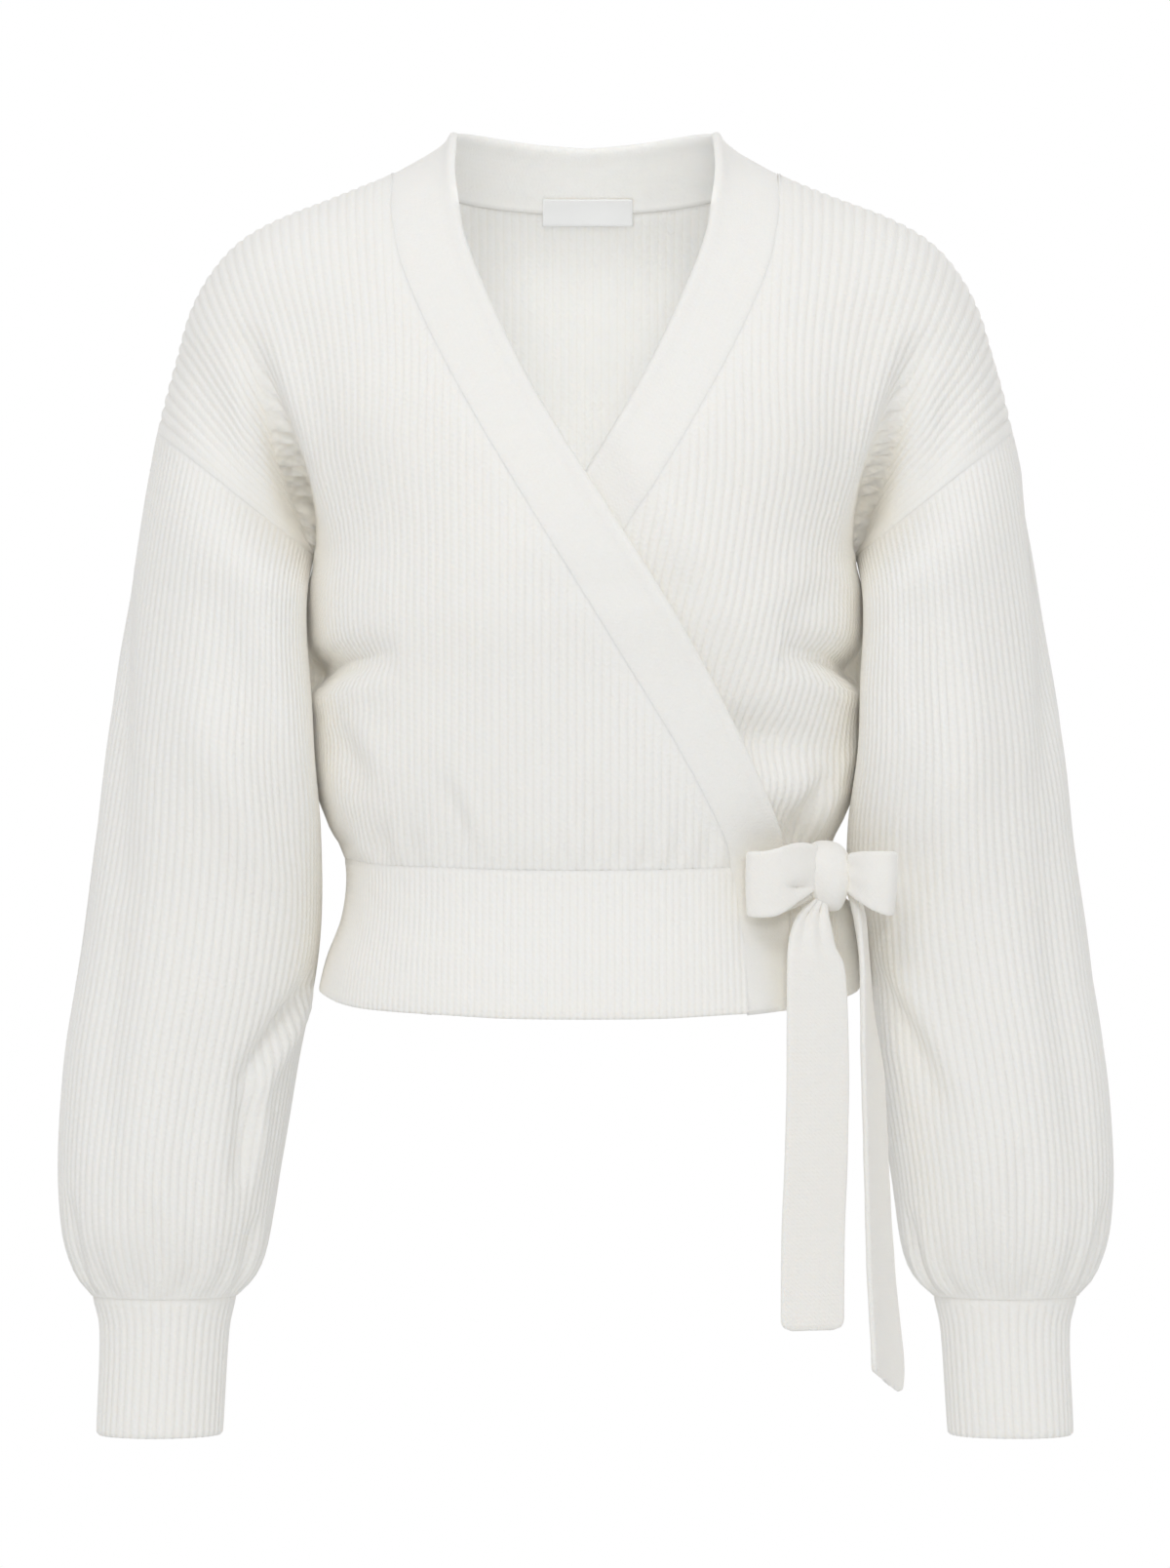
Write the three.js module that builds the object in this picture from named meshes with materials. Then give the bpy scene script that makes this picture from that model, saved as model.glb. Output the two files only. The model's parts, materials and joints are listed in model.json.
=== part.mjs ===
// A wrap cardigan in rib knit, worn shape with nobody in it.
// Millimetres. +Z is up, the front of the garment faces -Y, the wearer's left is +X.
// The origin is midway between the shoulders, at the height of the base of the neck.
// Every piece of cloth is a closed wall: an outer skin, and the same skin moved inward.

import * as THREE from 'three';

// ---------------------------------------------------------------- driving sizes

const MID_Y = 4;             // plane that holds the shoulder seams and the side seams
const SEAM_GAP = 0.4;        // clear space between two sewn pieces
const BAND_GAP = 1.1;        // the same beside the slanting band, measured level
const RIB_WALL = 2.4;        // body and sleeve knit
const BAND_WALL = 2.8;       // band, cuff and waistband knit
const TIE_WALL = 2.6;        // the tie is a flat tube of knit
const LABEL_WALL = 1.0;
const UNDERLAP = 5.0;        // how far the left front lies inside the right front

const NECK_SEAM_X = 106;     // where the band crosses the shoulder seam
const NECK_SEAM_Z = 7;
const NECK_EDGE_X = 72;      // the band's free edge there, and how far it stands at the back
const NECK_EDGE_Z = 30;
const NECK_EDGE_BACK = 46;
const NECK_EDGE_DIP = 3;
const BACK_NECK_Z = -3;      // the back neck seam at its middle
const ARM_DEPTH = 56;        // the upper arm of the garment, middle plane to front
const ARM_RADIUS = 43;       // and its half width
const FOLD_TOP_Z = -80;      // the fold between arm and chest starts here
const FOLD_FLOOR = 4;        // the front and the back of it stay this far from the middle plane
const UNDERARM_Z = -205;     // it ends at the underarm point
const UNDERARM_AT = 0.478;   // the underarm's share of a row's way down the panel
const WAIST_Z = -378;        // waistband seam at centre front, then at the side
const WAIST_SIDE_Z = -372;
const HEM_Z = -457.7;
const HEM_SIDE_Z = -446;
const KNIT_HALF = 258;       // half width of a body panel, knitted flat

// Shoulder seam: from the middle of the neck out over the shoulder and down the upper arm.
const SHOULDER = [
  { x: 0, z: 28 }, { x: 45, z: 26 }, { x: 72, z: 21.5 }, { x: 95, z: 12.2 }, { x: 117, z: 2 },
  { x: 138, z: -6.5 }, { x: 170, z: -19 }, { x: 192, z: -32 }, { x: 207, z: -49 },
  { x: 218, z: -70 }, { x: 225, z: -92 }, { x: 231, z: -113 }, { x: 237, z: -137 },
];

// Body by height: half width at the side (or at the fold between arm and chest), and how
// far the front and the back stand from the middle plane.
const BODY = [
  { z: 30, side: 196, front: 46, back: 70 },
  { z: 0, side: 193, front: 56, back: 78 },
  { z: -40, side: 189, front: 70, back: 88 },
  { z: -80, side: 184, front: 84, back: 95 },
  { z: -120, side: 174, front: 98, back: 100 },
  { z: -165, side: 158, front: 112, back: 100 },
  { z: -205, side: 150, front: 120, back: 96 },
  { z: -243, side: 152, front: 120, back: 92 },
  { z: -275, side: 147, front: 115, back: 88 },
  { z: -311, side: 147, front: 111, back: 86 },
  { z: -342, side: 141, front: 107, back: 86 },
  { z: -365, side: 135.5, front: 102, back: 86 },
  { z: -380, side: 132, front: 98, back: 86 },
  { z: -405, side: 134.5, front: 101, back: 90 },
  { z: -428, side: 143, front: 107, back: 97 },
  { z: -450, side: 148, front: 112, back: 103 },
  { z: -464, side: 149, front: 113, back: 104 },
];

// Sleeve by its way down: the outer and inner edge as seen from the front, the half depth,
// and how far the arm hangs forward.
const SLEEVE = [
  { at: 0.0, outerX: 237, outerZ: -137, innerX: 150.5, innerZ: -205, depth: 56, forward: 0 },
  { at: 0.08, outerX: 244.5, outerZ: -178, innerX: 154.5, innerZ: -226, depth: 55, forward: 0 },
  { at: 0.18, outerX: 251.5, outerZ: -221, innerX: 156.5, innerZ: -250, depth: 53, forward: 1 },
  { at: 0.28, outerX: 258.5, outerZ: -265, innerX: 151, innerZ: -280, depth: 53, forward: 2 },
  { at: 0.4, outerX: 265.5, outerZ: -310, innerX: 151, innerZ: -315, depth: 54, forward: 3 },
  { at: 0.5, outerX: 270.5, outerZ: -356, innerX: 146, innerZ: -356, depth: 56, forward: 4 },
  { at: 0.6, outerX: 276, outerZ: -396, innerX: 147, innerZ: -396, depth: 58, forward: 5 },
  { at: 0.7, outerX: 282, outerZ: -440, innerX: 150.5, innerZ: -440, depth: 59, forward: 6 },
  { at: 0.8, outerX: 290, outerZ: -492, innerX: 160, innerZ: -492, depth: 58, forward: 7 },
  { at: 0.88, outerX: 293, outerZ: -540, innerX: 168, innerZ: -540, depth: 55, forward: 8 },
  { at: 0.94, outerX: 290, outerZ: -578, innerX: 173, innerZ: -578, depth: 49, forward: 9 },
  { at: 0.975, outerX: 283.5, outerZ: -599, innerX: 179, innerZ: -599, depth: 40, forward: 9 },
  { at: 1.0, outerX: 273, outerZ: -614, innerX: 192, innerZ: -614, depth: 30, forward: 9 },
];
const CUFF = [
  { at: 0.0, outerX: 272, outerZ: -614.8, innerX: 193, innerZ: -614.8, depth: 29, forward: 9 },
  { at: 0.25, outerX: 268, outerZ: -632, innerX: 197, innerZ: -632, depth: 27, forward: 9 },
  { at: 1.0, outerX: 270, outerZ: -691, innerX: 201, innerZ: -691, depth: 26, forward: 9 },
];

// Front band by its way from the shoulder to the hem, as seen from the front: its free edge
// and its seam. This is the right front's, which crosses from -X to +X; the left is its mirror.
const BAND = [
  { at: 0, edgeX: -NECK_EDGE_X, edgeZ: NECK_EDGE_Z, seamX: -NECK_SEAM_X, seamZ: NECK_SEAM_Z },
  { at: 1, edgeX: -72.5, edgeZ: 11, seamX: -106.5, seamZ: -11 },
  { at: 2, edgeX: -69.5, edgeZ: -11, seamX: -104.5, seamZ: -29 },
  { at: 3, edgeX: -64, edgeZ: -37, seamX: -98.5, seamZ: -53 },
  { at: 4, edgeX: -49, edgeZ: -74, seamX: -82, seamZ: -91 },
  { at: 5, edgeX: -29, edgeZ: -115, seamX: -60, seamZ: -132 },
  { at: 6, edgeX: -1, edgeZ: -162, seamX: -31, seamZ: -181 },
  { at: 7, edgeX: 47, edgeZ: -238, seamX: 16, seamZ: -257 },
  { at: 8, edgeX: 81, edgeZ: -300, seamX: 51, seamZ: -314 },
  { at: 9, edgeX: 105, edgeZ: -353, seamX: 74, seamZ: -358 },
  { at: 10, edgeX: 109, edgeZ: -378, seamX: 79, seamZ: -378 },
  { at: 11, edgeX: 113, edgeZ: -415, seamX: 84, seamZ: -416 },
  { at: 12, edgeX: 118, edgeZ: -453, seamX: 88, seamZ: -456 },
];

// Largest folds of the fronts: troughs between two points seen from the front, the half width
// of each and its depth. The back's folds are the plainer ones.
const FOLDS = {
  front: [
    { fromX: 92, fromZ: -296, toX: 128, toZ: -309, reach: 13, depth: 5 },
    { fromX: 140, fromZ: -322, toX: 116, toZ: -366, reach: 10, depth: 4.5 },
    { fromX: -137, fromZ: -330, toX: -104, toZ: -326, reach: 14, depth: 3.5 },
    { fromX: -78, fromZ: -333, toX: -66, toZ: -374, reach: 10, depth: 3 },
    { fromX: -206, fromZ: -92, toX: -160, toZ: -168, reach: 15, depth: 4 },
    { fromX: 206, fromZ: -92, toX: 160, toZ: -168, reach: 15, depth: 4 },
  ],
  back: [
    { fromX: -140, fromZ: -318, toX: -90, toZ: -330, reach: 16, depth: 4 },
    { fromX: 140, fromZ: -312, toX: 84, toZ: -328, reach: 16, depth: 4 },
    { fromX: -204, fromZ: -96, toX: -160, toZ: -168, reach: 15, depth: 4 },
    { fromX: 204, fromZ: -96, toX: 160, toZ: -168, reach: 15, depth: 4 },
  ],
};

// Largest folds of a sleeve: each runs between two places on it, given by the way down and by
// the turn in degrees from the outer edge over the front.
const SLEEVE_FOLDS = [
  { fromAt: 0.7, fromTurn: 170, toAt: 0.78, toTurn: 132, reach: 0.06, depth: 7 },
  { fromAt: 0.78, fromTurn: 132, toAt: 0.91, toTurn: 128, reach: 0.06, depth: 7 },
  { fromAt: 0.55, fromTurn: 50, toAt: 0.92, toTurn: 54, reach: 0.06, depth: 4 },
  { fromAt: 0.2, fromTurn: 70, toAt: 0.36, toTurn: 104, reach: 0.06, depth: 4 },
  { fromAt: 0.5, fromTurn: 196, toAt: 0.66, toTurn: 240, reach: 0.07, depth: 5 },
  { fromAt: 0.72, fromTurn: 300, toAt: 0.9, toTurn: 270, reach: 0.06, depth: 5 },
];
const TURN_REACH = 0.0022;   // one degree around a sleeve, as a share of the way down it

// ---------------------------------------------------------------- small helpers

const mix = (a, b, t) => a + (b - a) * t;

function smooth(from, to, value) {
  const t = THREE.MathUtils.clamp((value - from) / (to - from), 0, 1);
  return t * t * (3 - 2 * t);
}

// Quarter-round rise from 0 to 1.
function bulge(t) {
  const u = THREE.MathUtils.clamp(t, 0, 1);
  return Math.sqrt(u * (2 - u));
}

// One column of a table, read along another column with a smooth cubic.
function along(table, by, value, column) {
  const rising = table[1][by] > table[0][by];
  const inside = (row) => (rising ? value >= row[by] : value <= row[by]);
  let i = 0;
  while (i < table.length - 2 && inside(table[i + 1])) i += 1;
  const a = table[Math.max(i - 1, 0)];
  const b = table[i];
  const c = table[i + 1];
  const d = table[Math.min(i + 2, table.length - 1)];
  const span = c[by] - b[by];
  const t = THREE.MathUtils.clamp((value - b[by]) / span, 0, 1);
  const slopeB = ((c[column] - a[column]) / (c[by] - a[by])) * span;
  const slopeC = ((d[column] - b[column]) / (d[by] - b[by])) * span;
  const t2 = t * t;
  const t3 = t2 * t;
  return (2 * t3 - 3 * t2 + 1) * b[column] + (t3 - 2 * t2 + t) * slopeB
    + (3 * t2 - 2 * t3) * c[column] + (t3 - t2) * slopeC;
}

// Depth of a soft trough along the line from one point to another.
function trough(here, from, to, reach, depth) {
  const nearest = new THREE.Line3(from, to).closestPointToPoint(here, true, new THREE.Vector3());
  return depth * smooth(reach, 0, nearest.distanceTo(here));
}

const SHOULDER_CURVE = new THREE.CatmullRomCurve3(
  SHOULDER.map((row) => new THREE.Vector3(row.x, 0, row.z)), false, 'centripetal');
SHOULDER_CURVE.arcLengthDivisions = 400;
const SHOULDER_POINTS = SHOULDER_CURVE.getSpacedPoints(60);

// Distance from x, z down to the shoulder line, and 0 on it or outside it.
function distanceToShoulder(x, z) {
  if (z >= along(SHOULDER, 'x', Math.abs(x), 'z')) return 0;
  const here = new THREE.Vector3(Math.abs(x), 0, z);
  const nearest = new THREE.Vector3();
  const piece = new THREE.Line3();
  let least = Infinity;
  for (let i = 1; i < SHOULDER_POINTS.length; i += 1) {
    piece.set(SHOULDER_POINTS[i - 1], SHOULDER_POINTS[i]);
    piece.closestPointToPoint(here, true, nearest);
    least = Math.min(least, nearest.distanceTo(here));
  }
  return least;
}

// ---------------------------------------------------------------- the body's form

// How far the cloth of one face ('front' or 'back') stands from the middle plane at x, z.
function clothDepth(face, x, z) {
  const out = Math.abs(x);
  const full = along(BODY, 'z', z, face);
  const side = along(BODY, 'z', z, 'side');
  const parted = smooth(FOLD_TOP_Z, UNDERARM_Z, z);
  const joined = mix(full, ARM_DEPTH, smooth(100, 205, out));
  const roundness = 2.3;
  const chest = full * Math.max(0, 1 - (out / side) ** roundness) ** (1 / roundness);
  const arm = ARM_DEPTH * bulge((out - side) / ARM_RADIUS);
  const softness = Math.max(0.55 * full * (1 - parted), z > UNDERARM_Z ? FOLD_FLOOR : 0);
  const split = Math.hypot(out < side ? chest : arm, softness);
  const turn = mix(75, 46, smooth(90, 200, out));
  const top = bulge(distanceToShoulder(x, z) / turn);
  const depth = top * mix(joined, Math.min(split, Math.max(joined, chest)), parted);
  const here = new THREE.Vector3(x, 0, z);
  const folded = FOLDS[face].reduce((sum, { fromX, fromZ, toX, toZ, reach, depth: deep }) => sum
    + trough(here, new THREE.Vector3(fromX, 0, fromZ), new THREE.Vector3(toX, 0, toZ), reach, deep), 0);
  return depth - Math.min(folded, depth / 3);
}

function facePoint(face, x, z, inward = 0) {
  const direction = face === 'front' ? -1 : 1;
  return new THREE.Vector3(x, MID_Y + direction * (clothDepth(face, x, z) - inward), z);
}

// The armhole ring lies in a tilted plane, from the top of the upper arm to the underarm.
function armholePoint(face, turn) {
  const top = SLEEVE[0];
  const half = Math.cos(Math.PI * turn) / 2;
  const direction = face === 'front' ? -1 : 1;
  return new THREE.Vector3(
    (top.outerX + top.innerX) / 2 + (top.outerX - top.innerX) * half,
    MID_Y + direction * top.depth * Math.sin(Math.PI * turn),
    (top.outerZ + top.innerZ) / 2 + (top.outerZ - top.innerZ) * half);
}

// Outer end of a row. Rows run from 0 at the shoulder seam, through 1 at the waistband seam,
// to 2 at the hem.
function rowEnd(row) {
  if (row < UNDERARM_AT) {
    const end = armholePoint('front', row / UNDERARM_AT);
    return { x: end.x, z: end.z };
  }
  const z = row < 1
    ? mix(UNDERARM_Z, WAIST_SIDE_Z, (row - UNDERARM_AT) / (1 - UNDERARM_AT))
    : mix(WAIST_SIDE_Z, HEM_SIDE_Z, row - 1);
  return { x: along(BODY, 'z', z, 'side'), z };
}

// Half a row, on one side of the body (1 is the wearer's left, -1 the right): the shoulder
// line scaled between the middle of the body and the row's outer end.
const ROW_STEPS = 160;
const rowCache = new Map();

function rowLine(face, row, side) {
  const key = `${face} ${side} ${row.toFixed(5)}`;
  if (rowCache.has(key)) return rowCache.get(key);
  const end = rowEnd(row);
  const top = SHOULDER[0].z;
  const middleZ = row < 1 ? mix(top, WAIST_Z, row) : mix(WAIST_Z, HEM_Z, row - 1);
  const last = SHOULDER[SHOULDER.length - 1];
  const points = [];
  for (let i = 0; i <= ROW_STEPS; i += 1) {
    const share = Math.sin((Math.PI / 2) * (i / ROW_STEPS));
    const line = SHOULDER_CURVE.getPointAt(share);
    const x = side * line.x * (end.x / last.x);
    const z = middleZ + ((line.z - top) / (last.z - top)) * (end.z - middleZ);
    points.push(row > 0 ? facePoint(face, x, z) : new THREE.Vector3(x, MID_Y, z));
  }
  if (row < UNDERARM_AT) {
    const aim = armholePoint(face, row / UNDERARM_AT);
    aim.setX(side * aim.x).sub(points[ROW_STEPS]);
    points.forEach((point, i) => point.addScaledVector(aim, smooth(0.72, 1, i / ROW_STEPS)));
  } else {
    points[ROW_STEPS].y = MID_Y;
  }
  const lengths = [0];
  for (let i = 1; i <= ROW_STEPS; i += 1) {
    lengths.push(lengths[i - 1] + points[i].distanceTo(points[i - 1]));
  }
  const result = { points, lengths };
  rowCache.set(key, result);
  return result;
}

// A point of the knit: across is -1 at the right edge, 0 in the middle and 1 at the left edge.
// Wales keep their spacing in the middle of a panel, and give way towards its edges.
function knitPoint(face, across, row) {
  const { points, lengths } = rowLine(face, row, across < 0 ? -1 : 1);
  const out = Math.abs(across);
  const want = mix(KNIT_HALF * out, lengths[ROW_STEPS] * out, out ** 2);
  let i = 1;
  while (i < ROW_STEPS && lengths[i] < want) i += 1;
  const share = (want - lengths[i - 1]) / (lengths[i] - lengths[i - 1]);
  return points[i - 1].clone().lerp(points[i], THREE.MathUtils.clamp(share, 0, 1));
}

// ---------------------------------------------------------------- walls

function skinNormals(skin, closed) {
  const rows = skin.length;
  const columns = skin[0].length;
  const down = new THREE.Vector3();
  const over = new THREE.Vector3();
  return skin.map((line, i) => line.map((_, j) => {
    const before = closed ? (j + columns - 1) % columns : Math.max(j - 1, 0);
    const after = closed ? (j + 1) % columns : Math.min(j + 1, columns - 1);
    over.subVectors(skin[i][after], skin[i][before]);
    down.subVectors(skin[Math.min(i + 1, rows - 1)][j], skin[Math.max(i - 1, 0)][j]);
    return new THREE.Vector3().crossVectors(over, down).normalize();
  }));
}

function closedGeometry(positions, triangles) {
  const geometry = new THREE.BufferGeometry();
  let volume = 0;
  const [a, b, c] = [new THREE.Vector3(), new THREE.Vector3(), new THREE.Vector3()];
  for (const [i, j, k] of triangles) {
    a.fromArray(positions, 3 * i);
    b.fromArray(positions, 3 * j);
    c.fromArray(positions, 3 * k);
    volume += a.dot(b.cross(c));
  }
  const facingOut = volume > 0 ? triangles : triangles.map(([i, j, k]) => [i, k, j]);
  geometry.setAttribute('position', new THREE.Float32BufferAttribute(positions, 3));
  geometry.setIndex(facingOut.flat());
  geometry.computeVertexNormals();
  return geometry;
}

// Joins an outer and an inner skin, row by row, into one closed body. A tube's rows close on
// themselves; a panel gets rims on its four sides.
function wall(outer, inner, closed = false) {
  const rows = outer.length;
  const columns = outer[0].length;
  const positions = [];
  [outer, inner].forEach((skin) => skin.flat().forEach((point) => positions.push(...point)));
  const half = rows * columns;
  const at = (layer, i, j) => layer * half + i * columns + (j % columns);
  const triangles = [];
  const quad = (a, b, c, d) => triangles.push([a, b, c], [a, c, d]);
  const steps = closed ? columns : columns - 1;
  for (let i = 0; i < rows - 1; i += 1) {
    for (let j = 0; j < steps; j += 1) {
      quad(at(0, i, j), at(0, i, j + 1), at(0, i + 1, j + 1), at(0, i + 1, j));
      quad(at(1, i, j), at(1, i + 1, j), at(1, i + 1, j + 1), at(1, i, j + 1));
    }
  }
  for (let j = 0; j < steps; j += 1) {
    quad(at(0, 0, j), at(1, 0, j), at(1, 0, j + 1), at(0, 0, j + 1));
    quad(at(0, rows - 1, j), at(0, rows - 1, j + 1), at(1, rows - 1, j + 1), at(1, rows - 1, j));
  }
  for (let i = 0; !closed && i < rows - 1; i += 1) {
    quad(at(0, i, 0), at(0, i + 1, 0), at(1, i + 1, 0), at(1, i, 0));
    const j = columns - 1;
    quad(at(0, i, j), at(1, i, j), at(1, i + 1, j), at(0, i + 1, j));
  }
  return closedGeometry(positions, triangles);
}

// Moves a skin inward by a thickness. An edge that lies in the plane of a seam moves within
// that plane, so that two sewn pieces meet there without crossing.
function insetSkin(skin, thickness, { closed = false, flip = 1, seamPlanes = () => [] } = {}) {
  const normals = skinNormals(skin, closed);
  return skin.map((line, i) => line.map((point, j) => {
    const normal = normals[i][j].clone().multiplyScalar(flip);
    seamPlanes(i, j, point).forEach((plane) => normal.projectOnPlane(plane));
    return point.clone().addScaledVector(normal.normalize(), -thickness);
  }));
}

const ACROSS_MIDDLE = new THREE.Vector3(0, 1, 0);
const ACROSS_WAIST = new THREE.Vector3(0, 0, 1);

function acrossArmhole(sideways) {
  const { outerX, outerZ, innerX, innerZ } = SLEEVE[0];
  return new THREE.Vector3(sideways * (outerZ - innerZ), 0, innerX - outerX).normalize();
}

// ---------------------------------------------------------------- materials

function knit(color, roughness) {
  return new THREE.MeshStandardMaterial({ color, roughness, metalness: 0, flatShading: true });
}

const RIB_KNIT = knit(0xeceae4, 0.95);
const PLAIN_KNIT = knit(0xefede7, 0.93);
const TIE_KNIT = knit(0xe9e7e0, 0.93);
const LABEL_WEAVE = knit(0xeeeeee, 0.7);

const cardigan = new THREE.Group();

function add(name, geometry, material) {
  const mesh = new THREE.Mesh(geometry, material);
  mesh.name = name;
  cardigan.add(mesh);
}

// ---------------------------------------------------------------- body panels

// Finds where a wale meets a line by halving: test is negative above it and positive below.
function firstRow(test, from, to) {
  let [high, low] = [from, to];
  for (let i = 0; i < 24; i += 1) {
    const middle = (high + low) / 2;
    if (test(middle) > 0) low = middle;
    else high = middle;
  }
  return (high + low) / 2;
}

function spread(from, to, steps) {
  return Array.from({ length: steps + 1 }, (_, i) => mix(from, to, i / steps));
}

function backNeckZ(x) {
  return mix(BACK_NECK_Z, NECK_SEAM_Z, Math.min(Math.abs(x) / NECK_SEAM_X, 1) ** 2.4);
}

// The band's stations, from the hem up to the shoulder, and its two edge lines by height.
const BAND_STEPS = 24;
const BAND_COLUMNS = ['edgeX', 'edgeZ', 'seamX', 'seamZ'];
const bandStations = spread(BAND[BAND.length - 1].at, 0, BAND_STEPS).map((at) => Object.fromEntries(
  BAND_COLUMNS.map((column) => [column, along(BAND, 'at', at, column)])));

function bandLineX(z, columnX, columnZ) {
  const above = bandStations.findIndex((station, i) => i > 0 && station[columnZ] >= z);
  const i = above < 0 ? BAND_STEPS : above;
  const [low, high] = [bandStations[i - 1], bandStations[i]];
  const share = THREE.MathUtils.clamp((z - low[columnZ]) / (high[columnZ] - low[columnZ]), 0, 1);
  return mix(low[columnX], high[columnX], share);
}

const bandSeamX = (z) => bandLineX(z, 'seamX', 'seamZ');
const bandEdgeX = (z) => bandLineX(z, 'edgeX', 'edgeZ');

// Direction square to the band's seam, seen from the front; side is -1 on the left front.
function acrossBandSeam(z, side = 1) {
  const step = 5;
  const slope = (bandSeamX(z + step) - bandSeamX(z - step)) / (2 * step);
  return new THREE.Vector3(side, 0, -slope).normalize();
}

// Share of the shoulder seam that the neck takes.
const NECK_SHARE = (() => {
  const { points, lengths } = rowLine('front', 0, 1);
  const i = points.findIndex((point) => point.x >= NECK_SEAM_X);
  let share = 0;
  while (mix(KNIT_HALF * share, lengths[ROW_STEPS] * share, share ** 2) < lengths[i]) share += 0.002;
  return share;
})();

const onMidPlane = (point) => Math.abs(point.y - MID_Y) < 1;

const ABOVE_WAIST_SEAM = 1 - SEAM_GAP / (SHOULDER[0].z - WAIST_Z) / 2;
const CLOSER_AT_TOP = 1.5;   // rows lie closer together over the shoulder
const CLOSER_AT_NECK = 2.0;  // and wales beside the neck
const UNDERARM_SHARE = (UNDERARM_AT / ABOVE_WAIST_SEAM) ** (1 / CLOSER_AT_TOP);
const PANEL_SHARES = [
  ...spread(0, UNDERARM_SHARE, 8).slice(0, -1),
  ...spread(UNDERARM_SHARE, 1, 5),
];

function panelSkin(face, columns, topRow, bottomRow, place = (point) => point) {
  const direction = face === 'front' ? -1 : 1;
  return PANEL_SHARES.map((share) => columns.map((across) => {
    const top = topRow(across);
    const row = mix(top, bottomRow, share ** CLOSER_AT_TOP);
    const point = place(knitPoint(face, across, row));
    if (onMidPlane(point)) point.y += direction * (SEAM_GAP / 2);
    return point;
  }));
}

// The planes of the seams that a panel's edge point lies in. acrossNeck gives the plane of
// the neck or band seam for the columns that start there.
function panelSeams(columns, acrossNeck) {
  const lastRow = PANEL_SHARES.length - 1;
  const underarmRow = PANEL_SHARES.indexOf(UNDERARM_SHARE);
  const startsAtNeck = (across) => across > -NECK_SHARE + 1e-6 && across < NECK_SHARE - 1e-6;
  return (i, j, point) => {
    const planes = [];
    if (onMidPlane(point)) planes.push(ACROSS_MIDDLE);
    if (i === lastRow) planes.push(ACROSS_WAIST);
    if (i === 0 && startsAtNeck(columns[j])) planes.push(acrossNeck(point));
    const atSide = Math.abs(columns[j]) === 1;
    if (atSide && i <= underarmRow) planes.push(acrossArmhole(Math.sign(point.x)));
    return planes;
  };
}

function backPanel() {
  const columns = [
    ...spread(-1, -NECK_SHARE, 9),
    ...spread(-NECK_SHARE, NECK_SHARE, 8).slice(1, -1),
    ...spread(NECK_SHARE, 1, 9),
  ];
  const topRow = (across) => {
    if (Math.abs(across) >= NECK_SHARE - 1e-6) return 0;
    return firstRow((row) => {
      const point = knitPoint('back', across, row);
      return backNeckZ(point.x) - BAND_GAP - point.z;
    }, 0, 0.3);
  };
  const skin = panelSkin('back', columns, topRow, ABOVE_WAIST_SEAM);
  const seamPlanes = panelSeams(columns, () => ACROSS_WAIST);
  return wall(skin, insetSkin(skin, RIB_WALL, { seamPlanes }));
}

// A front runs from its side seam, across the middle, to the band seam. side is 1 for the right
// front, which crosses towards +X, and -1 for the left, its mirror.
function frontPanel(side, place) {
  const overBand = (across) => (row) => {
    const point = knitPoint('front', side * across, row);
    return bandSeamX(point.z) - BAND_GAP - side * point.x;
  };
  const topRow = (across) => {
    if (side * across <= -NECK_SHARE + 1e-6) return 0;
    return firstRow(overBand(side * across), 0, ABOVE_WAIST_SEAM);
  };
  let tip = 0;
  while (topRow(side * (tip + 0.01)) < ABOVE_WAIST_SEAM - 0.015) tip += 0.01;
  const underBand = spread(0, 1, 14).map((share) => mix(-NECK_SHARE, tip, share ** CLOSER_AT_NECK));
  const columns = [...spread(-1, -NECK_SHARE, 9), ...underBand.slice(1)].map((across) => side * across);
  const skin = panelSkin('front', columns, topRow, ABOVE_WAIST_SEAM, place);
  const acrossNeck = (point) => acrossBandSeam(point.z, side);
  const seamPlanes = panelSeams(columns.map((across) => side * across), acrossNeck);
  return wall(skin, insetSkin(skin, RIB_WALL, { seamPlanes, flip: -side }));
}

const TUCK_STARTS = 36;      // beside the right band's free edge
const TUCK_ENDS = 8;

// The left front dips under the right one from the right band's free edge on.
function tuckUnder(point) {
  const past = point.x - bandEdgeX(point.z);
  const tuck = UNDERLAP * smooth(TUCK_STARTS, TUCK_ENDS, past);
  const shrink = 1 - tuck / Math.hypot(point.x, point.y - MID_Y, 40);
  return new THREE.Vector3(point.x * shrink, MID_Y + (point.y - MID_Y) * shrink, point.z);
}

add('back', backPanel(), RIB_KNIT);
add('right_front', frontPanel(1), RIB_KNIT);
add('left_front', frontPanel(-1, tuckUnder), RIB_KNIT);

// ---------------------------------------------------------------- waistband

const WAISTBAND_STEPS = 4;
const WAISTBAND_ROWS = spread(1 + SEAM_GAP / (WAIST_Z - HEM_Z) / 2, 2, WAISTBAND_STEPS);

function waistbandWall(face, columnsAt, flip, place = (point) => point) {
  const direction = face === 'front' ? -1 : 1;
  const skin = WAISTBAND_ROWS.map((row) => columnsAt(row).map((across) => {
    const point = place(knitPoint(face, across, row));
    if (onMidPlane(point)) point.y += direction * (SEAM_GAP / 2);
    return point;
  }));
  const seamPlanes = (i, _, point) => [
    ...(onMidPlane(point) ? [ACROSS_MIDDLE] : []),
    ...(i === 0 ? [ACROSS_WAIST] : []),
  ];
  return wall(skin, insetSkin(skin, BAND_WALL, { seamPlanes, flip }));
}

function frontWaistband(side, place) {
  const seamAcross = (row) => firstRow((across) => {
    const point = knitPoint('front', side * across, row);
    return side * point.x - (bandSeamX(point.z) - BAND_GAP);
  }, 0, 1);
  const columnsAt = (row) => spread(-side, side * seamAcross(row), 16);
  return waistbandWall('front', columnsAt, -side, place);
}

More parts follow.
